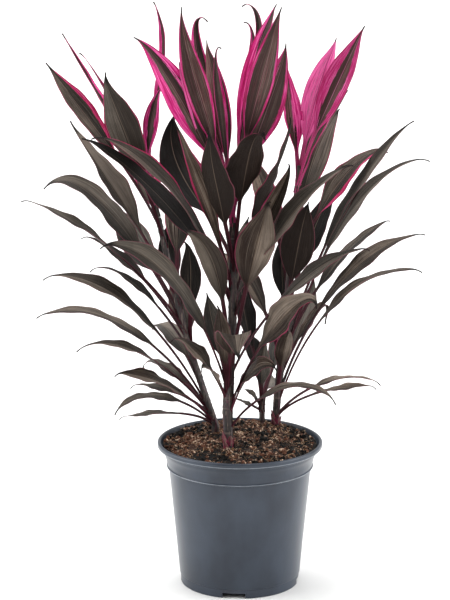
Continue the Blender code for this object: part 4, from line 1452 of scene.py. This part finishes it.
CENTRE_LEAVES = (
    Leaf(0.360, 174, (0.110, 0.525), (0.185, 0.580), 0.046, -18, 10, 0.30, Look.NIGHT),
    Leaf(0.365, -166, (0.105, 0.550), (0.175, 0.590), 0.038, -26, 12, 0.28, Look.THIN_LEFT),
    Leaf(0.415, 125, (0.120, 0.530), (0.130, 0.595), 0.052, -30, 10, 0.36, Look.NIGHT),
    Leaf(0.375, -135, (0.070, 0.550), (0.095, 0.615), 0.026, 20, 34, 0.30, Look.BRIGHT_LEFT),
    Leaf(0.410, -112, (0.065, 0.550), (0.070, 0.600), 0.042, 0, 10, 0.36, Look.NIGHT),
    Leaf(0.375, -60, (0.040, 0.570), (0.080, 0.590), 0.054, 6, 10, 0.52, Look.SHADED),
    Leaf(0.250, -160, (0.095, 0.430), (0.165, 0.460), 0.048, -36, 12, 0.33, Look.GREY),
    Leaf(0.270, -128, (0.035, 0.435), (0.090, 0.480), 0.032, 30, 10, 0.46, Look.PALE),
    Leaf(0.235, -140, (0.025, 0.290), (0.045, 0.300), 0.030, -20, 10, 0.46, Look.PALE),
    Leaf(0.250, -85, (0.070, 0.350), (0.130, 0.335), 0.044, 0, 8, 0.38, Look.GREY),
    Leaf(0.215, -30, (0.040, 0.295), (0.070, 0.300), 0.042, 30, 10, 0.38, Look.PLAIN),
    Leaf(0.225, -14, (0.085, 0.375), (0.115, 0.375), 0.048, 38, 10, 0.48, Look.PALE),
    Leaf(0.250, -40, (0.050, 0.470), (0.070, 0.510), 0.048, -40, 8, 0.56, Look.PALE),
    Leaf(0.235, -100, (0.035, 0.340), (0.060, 0.385), 0.022, 0, 10, 0.42, Look.GREY),
    Leaf(0.250, 130, (0.030, 0.345), (0.040, 0.380), 0.028, -20, 10, 0.42, Look.SHADED),
    Leaf(0.240, 160, (0.050, 0.315), (0.075, 0.320), 0.028, -6, 10, 0.42, Look.GREY),
    Leaf(0.270, 4, (0.110, 0.415), (0.175, 0.440), 0.032, 14, 10, 0.44, Look.PLAIN),
    Leaf(0.365, 20, (0.065, 0.515), (0.075, 0.545), 0.024, 50, 12, 0.42, Look.THIN_RIGHT),
    Leaf(0.390, 5, (0.060, 0.555), (0.070, 0.605), 0.052, -20, 10, 0.34, Look.NIGHT),
    Leaf(0.340, -20, (0.095, 0.510), (0.155, 0.560), 0.042, 30, 12, 0.34, Look.GREY),
    Leaf(0.205, -6, (0.085, 0.270), (0.135, 0.250), 0.026, 6, 10, 0.36, Look.GREY),
    Leaf(0.315, 80, (0.065, 0.400), (0.120, 0.460), 0.036, 0, 10, 0.38, Look.PLAIN),
)
CENTRE_CROWN = (
    Leaf(0.470, 156, (0.080, 0.640), (0.130, 0.700), 0.042, -50, 14, 0.34, Look.DARK_CENTRE),
    Leaf(0.470, -122, (0.090, 0.670), (0.115, 0.750), 0.030, 32, 14, 0.38, Look.EDGED),
    Leaf(0.475, 120, (0.090, 0.685), (0.065, 0.720), 0.024, -15, 20, 0.30, Look.WIDE_RIGHT),
    Leaf(0.475, 115, (0.050, 0.640), (0.085, 0.690), 0.028, -20, 20, 0.34, Look.EDGED_GREY),
    Leaf(0.475, 125, (0.035, 0.655), (0.030, 0.690), 0.016, 0, 20, 0.34, Look.BRIGHT_LEFT),
    Leaf(0.470, 150, (0.065, 0.635), (0.075, 0.670), 0.018, -50, 20, 0.30, Look.STREAKED),
    Leaf(0.480, 70, (0.100, 0.690), (0.040, 0.740), 0.014, 0, 20, 0.30, Look.EDGED),
    Leaf(0.475, 60, (0.050, 0.670), (0.035, 0.720), 0.020, 0, 20, 0.30, Look.WIDE_RIGHT),
    Leaf(0.475, 50, (0.050, 0.680), (0.090, 0.735), 0.030, 36, 20, 0.34, Look.WIDE_RIGHT),
    Leaf(0.475, -60, (0.075, 0.675), (0.110, 0.750), 0.033, -34, 14, 0.38, Look.EDGED),
    Leaf(0.470, -30, (0.055, 0.640), (0.075, 0.700), 0.042, -60, 12, 0.38, Look.WIDE_LEFT),
)
RIGHT_LEAVES = (
    Leaf(0.400, 50, (0.055, 0.545), (0.105, 0.590), 0.036, 38, 10, 0.38, Look.THIN_LEFT),
    Leaf(0.380, 20, (0.090, 0.525), (0.135, 0.540), 0.034, 22, 12, 0.42, Look.BRIGHT_LEFT),
    Leaf(0.260, 8, (0.100, 0.500), (0.170, 0.585), 0.030, 14, 12, 0.46, Look.GREY),
    Leaf(0.240, -8, (0.105, 0.490), (0.190, 0.545), 0.036, 16, 10, 0.42, Look.GREY),
    Leaf(0.320, 40, (0.065, 0.465), (0.090, 0.490), 0.034, 20, 10, 0.44, Look.SHADED),
    Leaf(0.290, -50, (0.030, 0.440), (0.050, 0.490), 0.044, -42, 10, 0.46, Look.SHADED),
    Leaf(0.295, 90, (0.045, 0.385), (0.080, 0.425), 0.028, 0, 10, 0.42, Look.SHADED),
    Leaf(0.270, 28, (0.100, 0.410), (0.165, 0.445), 0.028, 0, 10, 0.44, Look.PLAIN),
    Leaf(0.215, 10, (0.105, 0.395), (0.195, 0.435), 0.034, 12, 10, 0.44, Look.GREY),
    Leaf(0.205, -8, (0.095, 0.370), (0.185, 0.400), 0.034, 6, 10, 0.44, Look.GREY),
    Leaf(0.240, 30, (0.065, 0.340), (0.070, 0.315), 0.018, 0, 10, 0.42, Look.PLAIN),
    Leaf(0.220, -75, (0.035, 0.305), (0.060, 0.330), 0.024, 0, 10, 0.42, Look.PALE),
    Leaf(0.195, 14, (0.090, 0.245), (0.140, 0.235), 0.022, -2, 10, 0.40, Look.PALE),
    Leaf(0.195, -8, (0.080, 0.240), (0.130, 0.245), 0.024, 2, 10, 0.40, Look.GREY),
    Leaf(0.240, 70, (0.080, 0.295), (0.150, 0.355), 0.034, 0, 10, 0.38, Look.PLAIN),
    Leaf(0.315, 80, (0.070, 0.420), (0.130, 0.475), 0.036, 0, 10, 0.38, Look.PLAIN),
    Leaf(0.360, 112, (0.070, 0.475), (0.125, 0.525), 0.036, 0, 10, 0.38, Look.THIN_BOTH),
    Leaf(0.265, 125, (0.070, 0.365), (0.140, 0.395), 0.034, 0, 10, 0.38, Look.GREY),
)
RIGHT_CROWN = (
    Leaf(0.495, 40, (0.040, 0.635), (0.070, 0.685), 0.034, 42, 14, 0.32, Look.STREAKED),
    Leaf(0.495, -18, (0.055, 0.645), (0.085, 0.710), 0.036, -64, 14, 0.36, Look.RIBBED),
    Leaf(0.505, 115, (0.020, 0.610), (0.035, 0.655), 0.026, 0, 14, 0.28, Look.DEEP),
    Leaf(0.490, 8, (0.040, 0.580), (0.065, 0.625), 0.018, -20, 20, 0.30, Look.WIDE_RIGHT),
)
BACK_LEAVES = (
    Leaf(0.205, 180, (0.015, 0.215), (0.035, 0.225), 0.014, -5, 10, 0.36, Look.PLAIN),
    Leaf(0.205, 165, (0.010, 0.225), (0.025, 0.235), 0.014, -5, 10, 0.36, Look.PLAIN),
    Leaf(0.215, 145, (0.030, 0.350), (0.030, 0.400), 0.030, -10, 10, 0.40, Look.SHADED),
    Leaf(0.210, 60, (0.000, 0.260), (0.010, 0.300), 0.028, 0, 10, 0.36, Look.PLAIN),
    Leaf(0.215, 115, (0.025, 0.280), (0.065, 0.300), 0.024, 0, 10, 0.36, Look.SHADED),
    Leaf(0.210, 75, (0.090, 0.265), (0.160, 0.320), 0.032, 0, 10, 0.36, Look.PLAIN),
    Leaf(0.205, 85, (0.095, 0.215), (0.170, 0.215), 0.026, 0, 10, 0.36, Look.GREY),
)


@dataclass(frozen=True)
class SoftLight:
    """A wide soft light that comes evenly from one side.

    name: its name.
    source: a point in the direction that it comes from.
    spread: the angle that it fills as seen from the plant, in degrees.
    strength: its strength.
    """

    name: str
    source: Triple
    spread: float
    strength: float

    def build(self) -> None:
        """Hang the light."""
        lamp = bpy.data.lights.new(self.name, "SUN")
        lamp.angle = math.radians(self.spread)
        lamp.energy = self.strength
        light = put(self.name, lamp)
        light.location = self.source
        light.rotation_euler = (-Vector(self.source)).to_track_quat("-Z", "Y").to_euler()


@dataclass(frozen=True)
class Studio:
    """Pale floor, soft lamps and the camera of the front view.

    sky: strength of the room's light in front and behind.
    sky_turn: where the light goes over from the one to the other, on a line from the front to the back.
    """

    camera_place: Triple = (-0.019, -2.85, 1.04)
    camera_tilt: float = 76.75
    lens: float = 140.04
    sensor_width: float = 36.0
    view_end: float = 100.0
    floor_half: float = 14.0
    floor_finish: FloorFinish = FloorFinish()
    sky: Pair = (0.05, 0.95)
    sky_turn: Pair = (-0.95, -0.45)
    lights: tuple[SoftLight, ...] = (
        SoftLight("light_over", (-0.3, 0.9, 2.4), 40.0, 2.5),
        SoftLight("light_front", (0.5, -2.0, 2.2), 50.0, 0.5),
        SoftLight("light_left", (-2.4, -0.2, 1.1), 50.0, 2.3),
        SoftLight("light_right", (2.4, -0.2, 1.1), 50.0, 2.3),
    )

    def build_floor(self) -> None:
        """Lay the floor."""
        shape = bmesh.new()
        bmesh.ops.create_grid(shape, x_segments=8, y_segments=8, size=self.floor_half)
        floor = put("studio_floor", mesh_of("studio_floor", shape))
        floor.data.materials.append(self.floor_finish.material())

    def build_sky(self) -> None:
        """Fill the room with soft white light, dim in front and bright at the sides and behind."""
        world = bpy.data.worlds.new("studio_room")
        world.use_nodes = True
        nodes, links = world.node_tree.nodes, world.node_tree.links
        place = nodes.new("ShaderNodeTexCoord")
        parts = nodes.new("ShaderNodeSeparateXYZ")
        dimming = nodes.new("ShaderNodeMapRange")
        dimming.interpolation_type = "SMOOTHSTEP"
        for socket, value in zip(dimming.inputs[1:5], (*self.sky_turn, *self.sky)):
            socket.default_value = value
        background = nodes["Background"]
        background.inputs["Color"].default_value = (1.0, 1.0, 1.0, 1.0)
        links.new(place.outputs["Generated"], parts.inputs["Vector"])
        links.new(parts.outputs["Y"], dimming.inputs["Value"])
        links.new(dimming.outputs["Result"], background.inputs["Strength"])
        bpy.context.scene.world = world

    def build_camera(self) -> None:
        """Set up the camera."""
        data = bpy.data.cameras.new("front_camera")
        data.lens = self.lens
        data.sensor_width = self.sensor_width
        data.clip_end = self.view_end
        camera = put("front_camera", data)
        camera.location = self.camera_place
        camera.rotation_euler = (math.radians(self.camera_tilt), 0.0, 0.0)
        bpy.context.scene.camera = camera

    def build(self) -> None:
        """Set up the whole studio."""
        self.build_floor()
        self.build_sky()
        for light in self.lights:
            light.build()
        self.build_camera()
        bpy.context.scene.view_settings.view_transform = "Standard"


@dataclass(frozen=True)
class TiPlant:
    """The whole plant in its pot."""

    dark_skin: LeafFinish = LeafFinish(
        name="leaf_dark", dark="#080504", brown="#2b1c15", grey="#77675a", margin="#b01450",
        margin_pale="#d86090", margin_deep="#780c3a", stalk="#21100f", stalk_bright="#85304c",
        vein_and_highlight="#a09487", edge_margin_and_highlight="#7c4452", cool="#5c5b55", dry_start=0.87)
    bright_skin: LeafFinish = LeafFinish(
        name="leaf_bright", dark="#100908", brown="#3e2523", grey="#7b6d63", margin="#c81e76",
        margin_pale="#ee70b2", margin_deep="#900a44", stalk="#8c1a4c", stalk_bright="#e873a8",
        vein_and_highlight="#9a3f55", edge_margin_and_highlight="#9a3f55", cool="#54504b", dry_start=0.94)
    stem_skin: StemFinish = StemFinish("stem_sheath", "#120c0b", "#2e211e", "#6a5a52", "#5c2438")
    pot: Pot = Pot()
    base_scales: tuple[ScaleRow, ...] = (ScaleRow(0.184, 0.196, 6, 0.014, 0.009),)

    def shoots(self) -> tuple[Shoot, ...]:
        """List the shoots, and the crowns that grow on from them."""
        return (
            Shoot("centre_shoot", "dark_leaf", CENTRE_STEM, CENTRE_LEAVES, scales=self.base_scales),
            Shoot("left_shoot", "dark_leaf", LEFT_STEM, LEFT_LEAVES),
            Shoot("right_shoot", "dark_leaf", RIGHT_STEM, RIGHT_LEAVES, scales=self.base_scales),
            Shoot("back_shoot", "dark_leaf", BACK_STEM, BACK_LEAVES),
            Shoot("centre_crown", "pink_leaf", CENTRE_STEM.onward(), CENTRE_CROWN, 0.4555),
            Shoot("left_crown", "pink_leaf", LEFT_STEM.onward(), LEFT_CROWN, 0.4705),
            Shoot("right_crown", "pink_leaf", RIGHT_STEM.onward(), RIGHT_CROWN, 0.4805),
        )

    def build(self) -> None:
        """Build and dress the pot, the soil and the shoots, and report each in turn."""
        self.pot.build()
        Soil(self.pot, (CENTRE_STEM, LEFT_STEM, RIGHT_STEM, BACK_STEM)).build()
        skins = {"dark_leaf": self.dark_skin.material(), "pink_leaf": self.bright_skin.material()}
        stem_skin = self.stem_skin.material()
        for shoot in self.shoots():
            shoot.build(skins[shoot.slot], stem_skin)


def main() -> None:
    """Build the plant and the studio."""
    logging.basicConfig(level=logging.INFO, format="%(name)s %(message)s")
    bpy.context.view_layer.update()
    TiPlant().build()
    Studio().build()


if __name__ == "__main__":
    main()
